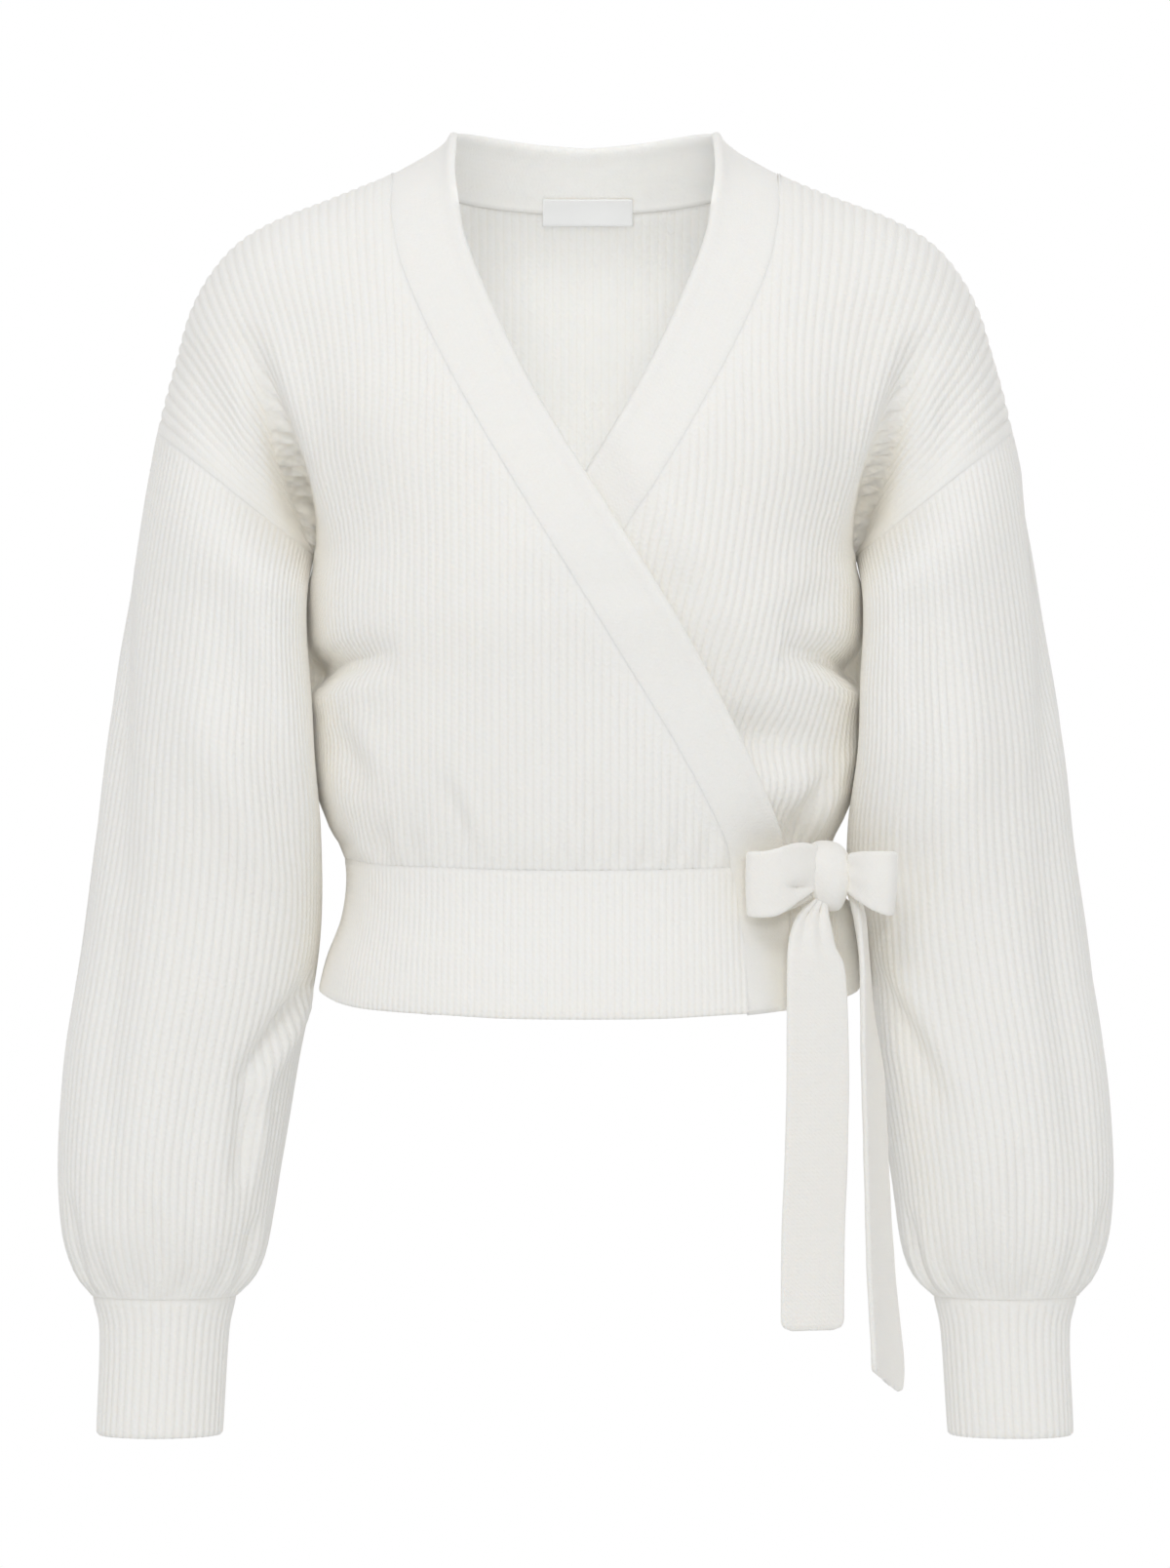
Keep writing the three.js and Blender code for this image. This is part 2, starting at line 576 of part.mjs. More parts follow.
add('back_waistband', waistbandWall('back', () => spread(-1, 1, 22), 1), RIB_KNIT);
add('right_front_waistband', frontWaistband(1), RIB_KNIT);
add('left_front_waistband', frontWaistband(-1, tuckUnder), RIB_KNIT);

// ---------------------------------------------------------------- band

const BAND_ACROSS = spread(0, 1, 3);

function frontBandRow({ edgeX, edgeZ, seamX, seamZ }, i, side) {
  return BAND_ACROSS.map((share) => {
    const x = side * mix(seamX, edgeX, share);
    const z = mix(seamZ, edgeZ, share);
    return i < BAND_STEPS ? facePoint('front', x, z) : new THREE.Vector3(x, MID_Y, z);
  });
}

function backNeckRow(turn) {
  const angle = Math.PI * turn;
  const seamX = -NECK_SEAM_X * Math.cos(angle);
  const seam = facePoint('back', seamX, backNeckZ(seamX));
  const edge = new THREE.Vector3(
    -NECK_EDGE_X * Math.cos(angle),
    MID_Y + NECK_EDGE_BACK * Math.sin(angle),
    NECK_EDGE_Z - NECK_EDGE_DIP * Math.sin(angle));
  return BAND_ACROSS.map((share) => seam.clone().lerp(edge, share));
}

const frontRows = bandStations.map((station, i) => frontBandRow(station, i, 1));
const neckRows = spread(0, 1, 12).slice(1).map(backNeckRow);
const longBand = [...frontRows, ...neckRows];

function bandSeams(side, rows) {
  return (i, j, point) => {
    const planes = i === rows.length - 1 ? [ACROSS_MIDDLE] : [];
    if (j > 0) return planes;
    return [...planes, i < BAND_STEPS ? acrossBandSeam(point.z, side) : ACROSS_WAIST];
  };
}

add('right_front_and_neck_band',
  wall(longBand, insetSkin(longBand, BAND_WALL, { seamPlanes: bandSeams(1, longBand) })),
  PLAIN_KNIT);

// The left front's own band ends at the left shoulder, where it is sewn to the long one.
const shortBand = bandStations.map((station, i) => frontBandRow(station, i, -1).map(
  (point) => (i < BAND_STEPS ? tuckUnder(point) : point.setY(MID_Y - SEAM_GAP))));
const shortBandInset = { seamPlanes: bandSeams(-1, shortBand), flip: -1 };
add('left_front_band', wall(shortBand, insetSkin(shortBand, BAND_WALL, shortBandInset)), PLAIN_KNIT);

// ---------------------------------------------------------------- sleeves and cuffs

const AROUND = 20;
const CUFF_ROWS = [0, 0.12, 0.25, 1];
const SLEEVE_ROWS = [0.0015, 0.06, 0.14, 0.23, 0.33, 0.43, 0.54, 0.65, 0.75, 0.84, 0.91, 0.955,
  0.985, 1];

function placeOnSleeve(at, turn) {
  return new THREE.Vector3(at, TURN_REACH * turn, 0);
}

// How far the sleeve's folds take it in at one place on it.
function sleeveFolds(at, turn) {
  return SLEEVE_FOLDS.reduce((sum, { fromAt, fromTurn, toAt, toTurn, reach, depth }) => sum
    + trough(placeOnSleeve(at, turn), placeOnSleeve(fromAt, fromTurn),
      placeOnSleeve(toAt, toTurn), reach, depth), 0);
}

function armSkin(table, rows, sideways, foldedIn = () => 0) {
  return rows.map((at) => {
    const read = (column) => along(table, 'at', at, column);
    const middle = new THREE.Vector3(
      (read('outerX') + read('innerX')) / 2, MID_Y - read('forward'),
      (read('outerZ') + read('innerZ')) / 2);
    const half = new THREE.Vector3(
      (read('outerX') - read('innerX')) / 2, 0, (read('outerZ') - read('innerZ')) / 2);
    return Array.from({ length: AROUND }, (_, i) => {
      const angle = (2 * Math.PI * i) / AROUND;
      const left = 1 - foldedIn(at, 360 * (i / AROUND)) / read('depth');
      const point = middle.clone().addScaledVector(half, left * Math.cos(angle));
      point.y -= left * read('depth') * Math.sin(angle);
      point.x *= sideways;
      return point;
    });
  });
}

for (const [name, sideways] of [['right', -1], ['left', 1]]) {
  const sleeve = armSkin(SLEEVE, SLEEVE_ROWS, sideways, sleeveFolds);
  const cuff = armSkin(CUFF, CUFF_ROWS, sideways);
  const sleeveSeams = (i) => {
    if (i === 0) return [acrossArmhole(sideways)];
    return i === SLEEVE_ROWS.length - 1 ? [ACROSS_WAIST] : [];
  };
  const cuffSeams = (i) => (i === 0 ? [ACROSS_WAIST] : []);
  const options = { closed: true, flip: sideways };
  add(`${name}_sleeve`,
    wall(sleeve, insetSkin(sleeve, RIB_WALL, { ...options, seamPlanes: sleeveSeams }), true),
    RIB_KNIT);
  add(`${name}_cuff`,
    wall(cuff, insetSkin(cuff, BAND_WALL, { ...options, seamPlanes: cuffSeams }), true),
    RIB_KNIT);
}

// ---------------------------------------------------------------- label

const LABEL = { middleX: 2, width: 52, top: -4, bottom: -17.5 };
const LABEL_STAND = RIB_WALL + 1.2;   // the label hangs this far inside the back's outer skin

const labelSkin = spread(LABEL.top, LABEL.bottom, 2).map((z) => spread(-0.5, 0.5, 4).map(
  (share) => facePoint('back', LABEL.middleX + share * LABEL.width, z, LABEL_STAND)));
add('neck_label', wall(labelSkin, insetSkin(labelSkin, LABEL_WALL)), LABEL_WEAVE);

// ---------------------------------------------------------------- ties and bow

// A strap through stations. Each has its middle, its half width, and the direction of its
// width as a turn about the vertical and a tilt from level, both in degrees.
const STRAP_ACROSS = spread(-1, 1, 2);

function strap(stations) {
  const skin = stations.map(({ x, y, z, half, turn, tilt }) => {
    const level = Math.cos(THREE.MathUtils.degToRad(tilt));
    const width = new THREE.Vector3(
      level * Math.cos(THREE.MathUtils.degToRad(turn)),
      level * Math.sin(THREE.MathUtils.degToRad(turn)),
      Math.sin(THREE.MathUtils.degToRad(tilt)));
    return STRAP_ACROSS.map((share) => new THREE.Vector3(x, y, z)
      .addScaledVector(width, share * half));
  });
  return wall(insetSkin(skin, -TIE_WALL / 2), insetSkin(skin, TIE_WALL / 2));
}

const KNOT = { x: 137, y: -70, z: -382, wide: 17, deep: 17, tall: 31 };

function knotSolid() {
  const geometry = new THREE.SphereGeometry(0.5, 14, 10);
  geometry.scale(KNOT.wide, KNOT.deep, KNOT.tall);
  geometry.translate(KNOT.x, KNOT.y, KNOT.z);
  return geometry;
}

const FRONT_LOOP = [
  { x: 128.5, y: -80.5, z: -383, half: 8, turn: 0, tilt: 90 },
  { x: 121, y: -88, z: -384, half: 13, turn: 0, tilt: 90 },
  { x: 110, y: -94.5, z: -386, half: 17, turn: 0, tilt: 90 },
  { x: 98, y: -97, z: -387, half: 17.5, turn: 0, tilt: 90 },
  { x: 90.5, y: -95, z: -387, half: 17.5, turn: 0, tilt: 90 },
  { x: 89, y: -90.5, z: -387, half: 17.5, turn: 0, tilt: 90 },
  { x: 93, y: -87.5, z: -387, half: 17, turn: 0, tilt: 90 },
  { x: 104, y: -84, z: -386, half: 15.5, turn: 0, tilt: 90 },
  { x: 114, y: -79.5, z: -384, half: 12, turn: 0, tilt: 90 },
  { x: 125, y: -73.5, z: -383, half: 8, turn: 0, tilt: 90 },
];
const SIDE_LOOP = [
  { x: 144.5, y: -80, z: -383, half: 8, turn: 0, tilt: 90 },
  { x: 150, y: -88, z: -384, half: 14, turn: 0, tilt: 90 },
  { x: 158, y: -94, z: -384, half: 17, turn: 0, tilt: 90 },
  { x: 165, y: -93, z: -384, half: 17.5, turn: 0, tilt: 90 },
  { x: 167.5, y: -87, z: -384, half: 17.5, turn: 0, tilt: 90 },
  { x: 163.5, y: -80, z: -384, half: 17, turn: 0, tilt: 90 },
  { x: 156, y: -75, z: -384, half: 13, turn: 0, tilt: 90 },
  { x: 148.5, y: -71, z: -383, half: 8, turn: 0, tilt: 90 },
];
const FRONT_TAIL = [
  { x: 131, y: -78.5, z: -399.5, half: 6, turn: 15, tilt: 0 },
  { x: 127, y: -84, z: -409, half: 11, turn: 18, tilt: 0 },
  { x: 124, y: -89, z: -424, half: 15.5, turn: 18, tilt: 0 },
  { x: 123, y: -91, z: -445, half: 18, turn: 16, tilt: 0 },
  { x: 122.5, y: -90.5, z: -490, half: 18, turn: 14, tilt: 0 },
  { x: 122, y: -89, z: -550, half: 18, turn: 12, tilt: 0 },
  { x: 121.5, y: -88, z: -618, half: 18, turn: 10, tilt: 0 },
  { x: 121.5, y: -88, z: -625, half: 15.5, turn: 10, tilt: 0 },
];
const SIDE_TAIL = [
  { x: 146, y: -66, z: -396, half: 6, turn: 80, tilt: 0 },
  { x: 149.5, y: -64, z: -408, half: 11, turn: 80, tilt: 0 },
  { x: 152, y: -62, z: -428, half: 16, turn: 82, tilt: 0 },
  { x: 153, y: -60, z: -460, half: 18, turn: 80, tilt: 0 },
  { x: 153.5, y: -59, z: -505, half: 18, turn: 74, tilt: 0 },
  { x: 156.5, y: -59, z: -555, half: 18, turn: 69, tilt: 0 },
  { x: 161, y: -59, z: -605, half: 18, turn: 63, tilt: -6 },
  { x: 163, y: -59, z: -650, half: 18, turn: 59, tilt: -16 },
  { x: 162, y: -62, z: -661, half: 13, turn: 59, tilt: -24 },
];
const FRONT_TIE = [
  { x: 118.5, y: -59, z: -386, half: 16, turn: 0, tilt: 90 },
  { x: 122, y: -62, z: -384.5, half: 12, turn: 0, tilt: 90 },
  { x: 126.5, y: -65.5, z: -383, half: 8, turn: 0, tilt: 90 },
];
const SIDE_TIE = [
  { x: 135.2, y: 1, z: -386, half: 16, turn: 0, tilt: 90 },
  { x: 136.6, y: -18, z: -385.5, half: 15, turn: 0, tilt: 90 },
  { x: 137.5, y: -38, z: -384.5, half: 13, turn: 0, tilt: 90 },
  { x: 139, y: -58, z: -383, half: 8, turn: 0, tilt: 90 },
];

add('tie_knot', knotSolid(), TIE_KNIT);
add('front_tie', strap(FRONT_TIE), TIE_KNIT);
add('side_tie', strap(SIDE_TIE), TIE_KNIT);
add('front_loop', strap(FRONT_LOOP), TIE_KNIT);
add('side_loop', strap(SIDE_LOOP), TIE_KNIT);
add('front_tail', strap(FRONT_TAIL), TIE_KNIT);
add('side_tail', strap(SIDE_TAIL), TIE_KNIT);

export default cardigan;
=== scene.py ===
# %% [markdown]
# # A rib-knit wrap cardigan
# The real thing is knitted in panels, linked together, and then brushed. Here it keeps the form
# that a wearer gives it, with nobody inside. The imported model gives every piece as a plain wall.
# This lesson replaces each wall with a knitted shell of nearly the same form, with ribs, bands,
# folds and a bow.

import json
import math

import bmesh
import bpy
import numpy as np
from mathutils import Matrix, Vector

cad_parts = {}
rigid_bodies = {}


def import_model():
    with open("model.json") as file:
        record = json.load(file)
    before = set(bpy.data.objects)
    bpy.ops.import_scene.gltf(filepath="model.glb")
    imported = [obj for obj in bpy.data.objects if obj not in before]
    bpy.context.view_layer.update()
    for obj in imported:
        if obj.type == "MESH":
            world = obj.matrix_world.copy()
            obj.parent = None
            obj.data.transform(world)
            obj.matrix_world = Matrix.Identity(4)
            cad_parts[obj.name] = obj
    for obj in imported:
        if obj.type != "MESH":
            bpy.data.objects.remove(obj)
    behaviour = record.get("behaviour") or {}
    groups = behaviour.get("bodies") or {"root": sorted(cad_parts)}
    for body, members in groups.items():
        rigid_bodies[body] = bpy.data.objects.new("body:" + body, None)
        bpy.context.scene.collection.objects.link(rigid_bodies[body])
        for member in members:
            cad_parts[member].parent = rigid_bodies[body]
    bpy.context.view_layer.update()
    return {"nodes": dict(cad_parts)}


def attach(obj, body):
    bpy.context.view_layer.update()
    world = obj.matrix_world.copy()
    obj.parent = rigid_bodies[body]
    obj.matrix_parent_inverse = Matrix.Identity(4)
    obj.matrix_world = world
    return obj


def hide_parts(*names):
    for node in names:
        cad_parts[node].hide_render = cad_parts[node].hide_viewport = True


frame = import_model()
MM = 0.001                      # the cells work in millimetres and store metres


def add_object(name, data):
    thing = bpy.data.objects.new(name, data)
    bpy.context.scene.collection.objects.link(thing)
    return thing


print("pieces in the frame:", len(frame["nodes"]))

# %% [markdown]
# ## The camera first
# A garment hung at eye level and taken from well back keeps its proportions, so the camera
# stands 3.2 m in front, level with the middle of the cardigan, on a long lens.

# %% Camera
VIEW_DISTANCE = 3200
VIEW_LEVEL = -331.6
VIEW_HEIGHT = 868.3             # what the picture takes in, at the middle of the garment
SENSOR = 36

lens_data = bpy.data.cameras.new("studio_camera")
lens_data.sensor_fit = "VERTICAL"
lens_data.sensor_height = SENSOR
lens_data.lens = SENSOR * VIEW_DISTANCE / VIEW_HEIGHT
camera = add_object("studio_camera", lens_data)
camera.location = (0, -VIEW_DISTANCE * MM, VIEW_LEVEL * MM)
camera.rotation_euler = (math.pi / 2, 0, 0)
bpy.context.scene.camera = camera
print("lens, mm:", round(lens_data.lens, 1))

# %% [markdown]
# ## Sizes of the garment
# A pattern maker keeps a size chart. These tables are that chart: a row for each level, and a
# smooth curve is read between the rows. They are close to the sizes of the walls in the frame.
# The largest difference is the inner edge of each sleeve, which is swept further forward here,
# so that it closes on the body.

# %% Size chart
MID_Y = 4                       # the plane of the shoulder seams and the side seams
LAP = 1.2                       # how far a panel's edge runs under the band that finishes it
UNDERLAP = 7.0                  # how far the left front lies inside the right front
NECK_SEAM = (106, 7)            # where the band crosses the shoulder: across, up
NECK_EDGE = (72, 30)            # where its free edge does
NECK_EDGE_BACK = 46             # how far back that edge goes behind the neck
COLLAR_HOLLOW = 3.6             # how far the collar curves in at the shoulder
COLLAR_SWEEP, COLLAR_DROP = 29, 20      # its free edge comes this far forward in this drop
BACK_NECK_Z = -8
ARM_DEPTH, ARM_RADIUS = 56, 43
UNDERARM_Z = -205
UNDERARM_AT = 0.478             # the row that ends at the underarm
WAIST_Z, WAIST_SIDE_Z = -378, -372      # at the middle and at the side seams
HEM_Z, HEM_SIDE_Z = -457.7, -446
KNIT_HALF = 258                 # half a row of knitting, laid flat


def chart(columns, *rows):
    return dict(zip(columns.split(), np.array(rows, float).T))


SHOULDER = chart(
    "x z", (0, 28), (45, 26), (72, 21.5), (95, 12.2), (117, 2), (138, -6.5), (170, -19),
    (192, -32), (207, -49), (218, -70), (225, -92), (231, -113), (237, -137))
BODY = chart(
    "z side front back",
    (30, 196, 46, 70), (0, 193, 56, 78), (-40, 189, 70, 88), (-80, 184, 84, 95),
    (-120, 174, 98, 100), (-165, 158, 112, 100), (-205, 150, 120, 96), (-226, 154, 120, 94),
    (-243, 154.5, 120, 92), (-275, 152.5, 115, 88), (-311, 152.5, 111, 86), (-335, 149, 108, 86),
    (-352, 142.5, 105, 86), (-365, 136, 102, 86), (-380, 132, 98, 86), (-405, 134.5, 101, 90),
    (-428, 143, 107, 97), (-450, 148, 112, 103), (-464, 149, 113, 104))
SLEEVE = chart(
    "at outer_x outer_z inner_x inner_z depth forward skew",
    (0.0, 237, -137, 150.5, -205, 56, 0, 0), (0.08, 244.5, -178, 151.8, -226, 55, 0, 42),
    (0.18, 251, -221, 152, -250, 53, 1, 47), (0.28, 258, -265, 150.4, -280, 53, 2, 47),
    (0.4, 264.5, -310, 148.8, -315, 54, 3, 45), (0.5, 269.5, -356, 145, -356, 56, 4, 28),
    (0.6, 274.8, -396, 145.4, -396, 58, 5, 10), (0.7, 281, -440, 149.8, -440, 59, 6, 2),
    (0.8, 288.5, -492, 159.5, -492, 58, 7, 0), (0.88, 291.5, -540, 168, -540, 55, 8, 0),
    (0.94, 288.5, -578, 173.5, -578, 49, 9, 0), (0.975, 282, -599, 180, -599, 40, 9, 0),
    (1.0, 273, -614, 192, -614, 30, 9, 0))
CUFF = chart(
    "at outer_x outer_z inner_x inner_z depth forward skew",
    (0.0, 272, -614.8, 193, -614.8, 29, 9, 0), (0.25, 268, -632, 197, -632, 27, 9, 0),
    (1.0, 270, -691, 201, -691, 26, 9, 0))
SIDE_FLARE = chart("z out", (-470, 2), (-450, 4), (-428, 9.5), (-412, 15.5), (-401, 16.5),
                   (-391, 8), (-381, 0.5), (-370, 0))
NECK_HEIGHT = chart("side z", (0, 26.2), (0.43, 28.6), (0.76, 31.2), (0.93, 31.2), (1, 30))
BAND = chart(
    "at edge_x edge_z seam_x seam_z",
    (0, -72, 30, -106, 7), (1, -72.5, 11, -106.5, -11), (2, -69.5, -11, -104.5, -29),
    (3, -64, -37, -98.5, -53), (4, -49, -74, -82, -91), (5, -29, -115, -60, -132),
    (6, -1, -162, -31, -181), (7, 47, -238, 16, -257), (8, 81, -300, 51, -314),
    (9, 105, -353, 74, -358), (10, 109, -378, 79, -378), (11, 113, -415, 84, -416),
    (12, 118, -453, 88, -456))
print("levels in the body's chart:", len(BODY["z"]))

# %% [markdown]
# ## Reading the chart
# `read` runs a smooth cubic through a column. `smooth` and `bulge` are the two soft steps that
# cloth needs: one flat at both ends, one round like a rolled edge.


# %% Small helpers
def mix(a, b, t):
    return a + (b - a) * t


def smooth(start, end, value):
    t = np.clip((value - start) / (end - start), 0, 1)
    return t * t * (3 - 2 * t)


def bulge(t):
    u = np.clip(t, 0, 1)
    return np.sqrt(u * (2 - u))


def read(table, by, value, column):
    keys, values = table[by], table[column]
    if keys[1] < keys[0]:
        keys, values = keys[::-1], values[::-1]
    slopes = np.empty_like(values)
    slopes[1:-1] = (values[2:] - values[:-2]) / (keys[2:] - keys[:-2])
    slopes[0] = (values[1] - values[0]) / (keys[1] - keys[0])
    slopes[-1] = (values[-1] - values[-2]) / (keys[-1] - keys[-2])
    value = np.clip(value, keys[0], keys[-1])
    i = np.clip(np.searchsorted(keys, value, side="right") - 1, 0, len(keys) - 2)
    span = keys[i + 1] - keys[i]
    t = (value - keys[i]) / span
    rise = t * t * (3 - 2 * t)
    return (mix(values[i], values[i + 1], rise) + t * (1 - t) ** 2 * span * slopes[i]
            - t * t * (1 - t) * span * slopes[i + 1])


def arc_lengths(points):
    """Distance along lines of points, which run down the first axis."""
    steps = np.linalg.norm(np.diff(points, axis=0), axis=-1)
    return np.concatenate([np.zeros((1,) + steps.shape[1:]), np.cumsum(steps, axis=0)])


print("waist half width:", round(float(read(BODY, "z", -378, "side")), 1), "mm")

# %% [markdown]
# ## The worn form
# The body is one field: at any place seen from the front, it says how far the cloth stands
# from the middle plane. It rounds over the shoulder line, fills the chest, and parts into
# chest and arm below the fold that runs to the underarm. A lofted tube could make a torso, but
# not the way a dropped shoulder flows into the arm.

# %% Field of the body
CHEST_ROUNDNESS = 2.3           # 2 is an ellipse, and more is squarer
FOLD_TOP_Z = -80                # where chest and arm begin to part
FOLD_SOFTNESS, FOLD_FLOOR = 0.55, 4     # share of the depth left in the fold, and its least
JOINED_ACROSS = (100, 205)      # above the fold the chest's depth passes into the arm's here
SHOULDER_ROUND = (75, 46)       # radius of the shoulder's round: towards the neck, at the arm
ROUND_ACROSS = (90, 200)        # and where the one passes into the other
OUT = {"front": -1, "back": 1}  # which way along y the cloth of a face looks

line_at = arc_lengths(np.stack([SHOULDER["x"], SHOULDER["z"]], axis=1))
shoulder_chart = {"at": line_at, **SHOULDER}
dense_at = np.linspace(0, line_at[-1], 600)
dense_line = np.stack([read(shoulder_chart, "at", dense_at, c) for c in "xz"], axis=1)
dense_length = arc_lengths(dense_line)
SHOULDER_LENGTH = dense_length[-1]


def shoulder_line(share):
    return [np.interp(share * SHOULDER_LENGTH, dense_length, dense_line[:, k]) for k in (0, 1)]


SHOULDER_POINTS = np.stack(shoulder_line(np.linspace(0, 1, 401)), axis=1)


def distance_to_shoulder(x, z, below=False):
    here = np.stack([np.abs(x), z], axis=-1)[..., None, :]
    start, way = SHOULDER_POINTS[:-1], np.diff(SHOULDER_POINTS, axis=0)
    t = np.clip(((here - start) * way).sum(-1) / (way ** 2).sum(-1), 0, 1)
    distance = np.linalg.norm(here - start - t[..., None] * way, axis=-1).min(-1)
    return distance if below else np.where(z >= read(SHOULDER, "x", np.abs(x), "z"), 0, distance)


def cloth_depth(face, x, z, below=False):
    out = np.abs(x)
    full, side = read(BODY, "z", z, face), read(BODY, "z", z, "side")
    parted = smooth(FOLD_TOP_Z, UNDERARM_Z, z)
    joined = mix(full, ARM_DEPTH, smooth(*JOINED_ACROSS, out))
    chest = full * np.maximum(0, 1 - (out / side) ** CHEST_ROUNDNESS) ** (1 / CHEST_ROUNDNESS)
    arm = ARM_DEPTH * bulge((out - side) / ARM_RADIUS)
    floor_depth = np.where(z > UNDERARM_Z, FOLD_FLOOR, 0)
    softness = np.maximum(FOLD_SOFTNESS * full * (1 - parted), floor_depth)
    split = np.hypot(np.where(out < side, chest, arm), softness)
    radius = mix(*SHOULDER_ROUND, smooth(*ROUND_ACROSS, out))
    top = bulge(distance_to_shoulder(x, z, below) / radius)
    return top * mix(joined, np.minimum(split, np.maximum(joined, chest)), parted)


def face_points(face, x, z, below=False):
    return np.stack([x, MID_Y + OUT[face] * cloth_depth(face, x, z, below), z], axis=-1)


print("shoulder line:", round(float(SHOULDER_LENGTH), 1), "mm")

# %% [markdown]
# ## Rows and wales
# Knitting has rows across and wales up and down. A row is the shoulder line, scaled down the
# body: row 0 is the shoulder seam, row 1 the waistband seam, row 2 the hem. Wales keep their
# spacing in the middle and give way towards the sides, so the ribs tilt with the dropped
# shoulder as real ones do. A grid is made once for each face, and read with a cubic later.

# %% Rows of the body
ACROSS_STEPS = 160              # grid steps from the middle to the side
PANEL_STEPS, WAIST_STEPS = 180, 30
LED_FROM = 0.72                 # from this share of its way out, a row is led to the armhole


def armhole_point(face, turn):
    top = {name: column[0] for name, column in SLEEVE.items()}
    half = math.cos(math.pi * turn) / 2
    return np.array([
        (top["outer_x"] + top["inner_x"]) / 2 + (top["outer_x"] - top["inner_x"]) * half,
        MID_Y + OUT[face] * top["depth"] * math.sin(math.pi * turn),
        (top["outer_z"] + top["inner_z"]) / 2 + (top["outer_z"] - top["inner_z"]) * half])


def row_end(row):
    if row < UNDERARM_AT:
        end = armhole_point("front", row / UNDERARM_AT)
        return end[0], end[2]
    if row < 1:
        z = mix(UNDERARM_Z, WAIST_SIDE_Z, (row - UNDERARM_AT) / (1 - UNDERARM_AT))
    else:
        z = mix(WAIST_SIDE_Z, HEM_SIDE_Z, row - 1)
    return float(read(BODY, "z", z, "side")), z


def half_row(face, row, across):
    end_x, end_z = row_end(row)
    top, last_x, last_z = SHOULDER["z"][0], SHOULDER["x"][-1], SHOULDER["z"][-1]
    middle_z = mix(top, WAIST_Z, row) if row < 1 else mix(WAIST_Z, HEM_Z, row - 1)
    way = np.linspace(0, 1, 241)
    line_x, line_z = shoulder_line(np.sin(math.pi / 2 * way))
    x = line_x * (end_x / last_x)
    z = middle_z + (line_z - top) / (last_z - top) * (end_z - middle_z)
    points = face_points(face, x, z, below=True)
    if row == 0:
        points[:, 1] = MID_Y
    if row < UNDERARM_AT:
        aim = armhole_point(face, row / UNDERARM_AT) - points[-1]
        points += smooth(LED_FROM, 1, way)[:, None] * aim
    else:
        points[-1, 1] = MID_Y
    length = arc_lengths(points)
    want = mix(KNIT_HALF * across, length[-1] * across, across ** 2)
    return np.stack([np.interp(want, length, points[:, k]) for k in range(3)], axis=1)


def knit_grid(face, rows):
    across = np.linspace(0, 1, ACROSS_STEPS + 1)
    half = np.array([half_row(face, row, across) for row in rows])
    mirrored = half[:, :0:-1] * (-1, 1, 1)
    return np.concatenate([mirrored, half], axis=1)


# The grids are even in the square root of the row, which keeps the round of the shoulder fine.
GRIDS = {
    (face, part): knit_grid(face, rows)
    for face in ("front", "back")
    for part, rows in (("panel", np.linspace(0, 1, PANEL_STEPS + 1) ** 2),
                       ("waist", np.linspace(1, 2, WAIST_STEPS + 1)))}
print("half row at the chest:",
      round(float(arc_lengths(GRIDS["front", "panel"][120])[-1]), 1), "mm")


def cubic_weights(t):
    return np.stack([
        0.5 * (-t + 2 * t ** 2 - t ** 3), 0.5 * (2 - 5 * t ** 2 + 3 * t ** 3),
        0.5 * (t + 4 * t ** 2 - 3 * t ** 3), 0.5 * (-t ** 2 + t ** 3)])


def knit_points(face, part, across, row):
    """Points of the knit: across from -1 to 1, row from 0 to 1, or 1 to 2 in the waistband."""
    grid = GRIDS[face, part]
    if part == "panel":
        down = np.sqrt(np.clip(row, 0, 1)) * PANEL_STEPS
    else:
        down = (row - 1) * WAIST_STEPS
    over = (np.clip(across, -1, 1) + 1) * ACROSS_STEPS
    i = np.clip(np.floor(down).astype(int), 0, grid.shape[0] - 2)
    j = np.clip(np.floor(over).astype(int), 0, grid.shape[1] - 2)
    weight_i, weight_j = cubic_weights(down - i), cubic_weights(over - j)
    total = 0
    for a in range(4):
        for b in range(4):
            rows = np.clip(i + a - 1, 0, grid.shape[0] - 1)
            columns = np.clip(j + b - 1, 0, grid.shape[1] - 1)
            total = total + (weight_i[a] * weight_j[b])[..., None] * grid[rows, columns]
    return total


# %% [markdown]
# ## From a surface to a knitted shell
# Every piece below is worked out as one grid of points, rows by columns. `shell` turns a grid
# into cloth: an outer skin and an inner skin, each with its own relief, joined at the rims. A
# solidify modifier could thicken a grid too, but it would not give each skin its own ribs.

# %% Skins and rims
THIN_RIM = 0.4                  # a rim thinner than this is a round edge, and is shaded as one


def normals_of(points, closed):
    """Outward or inward normals of a grid; `facing` settles which."""
    if closed:
        over = np.roll(points, -1, axis=1) - np.roll(points, 1, axis=1)
    else:
        over = np.gradient(points, axis=1)
    down = np.gradient(points, axis=0)
    normal = np.cross(over, down)
    return normal / np.maximum(np.linalg.norm(normal, axis=-1, keepdims=True), 1e-9)


def facing(normals, direction):
    """Turns a grid of normals so that on the whole they point along direction."""
    return normals if (normals * direction).sum() > 0 else -normals


def skin_quads(rows, steps, layer):
    """Corners of every quad of one skin, and the number of the skin they are on."""
    i, j = (a.ravel() for a in np.mgrid[0:rows - 1, 0:steps])
    return [(i, j), (i, j + 1), (i + 1, j + 1), (i + 1, j)], [layer + 0 * i] * 4


def rim_quads(i, j, next_i, next_j):
    """Corners of the quads that close a rim from skin 0 to skin 1, and their skins."""
    corners = [(i, j), (next_i, next_j), (next_i, next_j), (i, j)]
    return corners, [0 * i, 0 * i, 0 * i + 1, 0 * i + 1]


def turned(corners, layers):
    """The same quads, facing the other way."""
    return corners[::-1], layers[::-1]


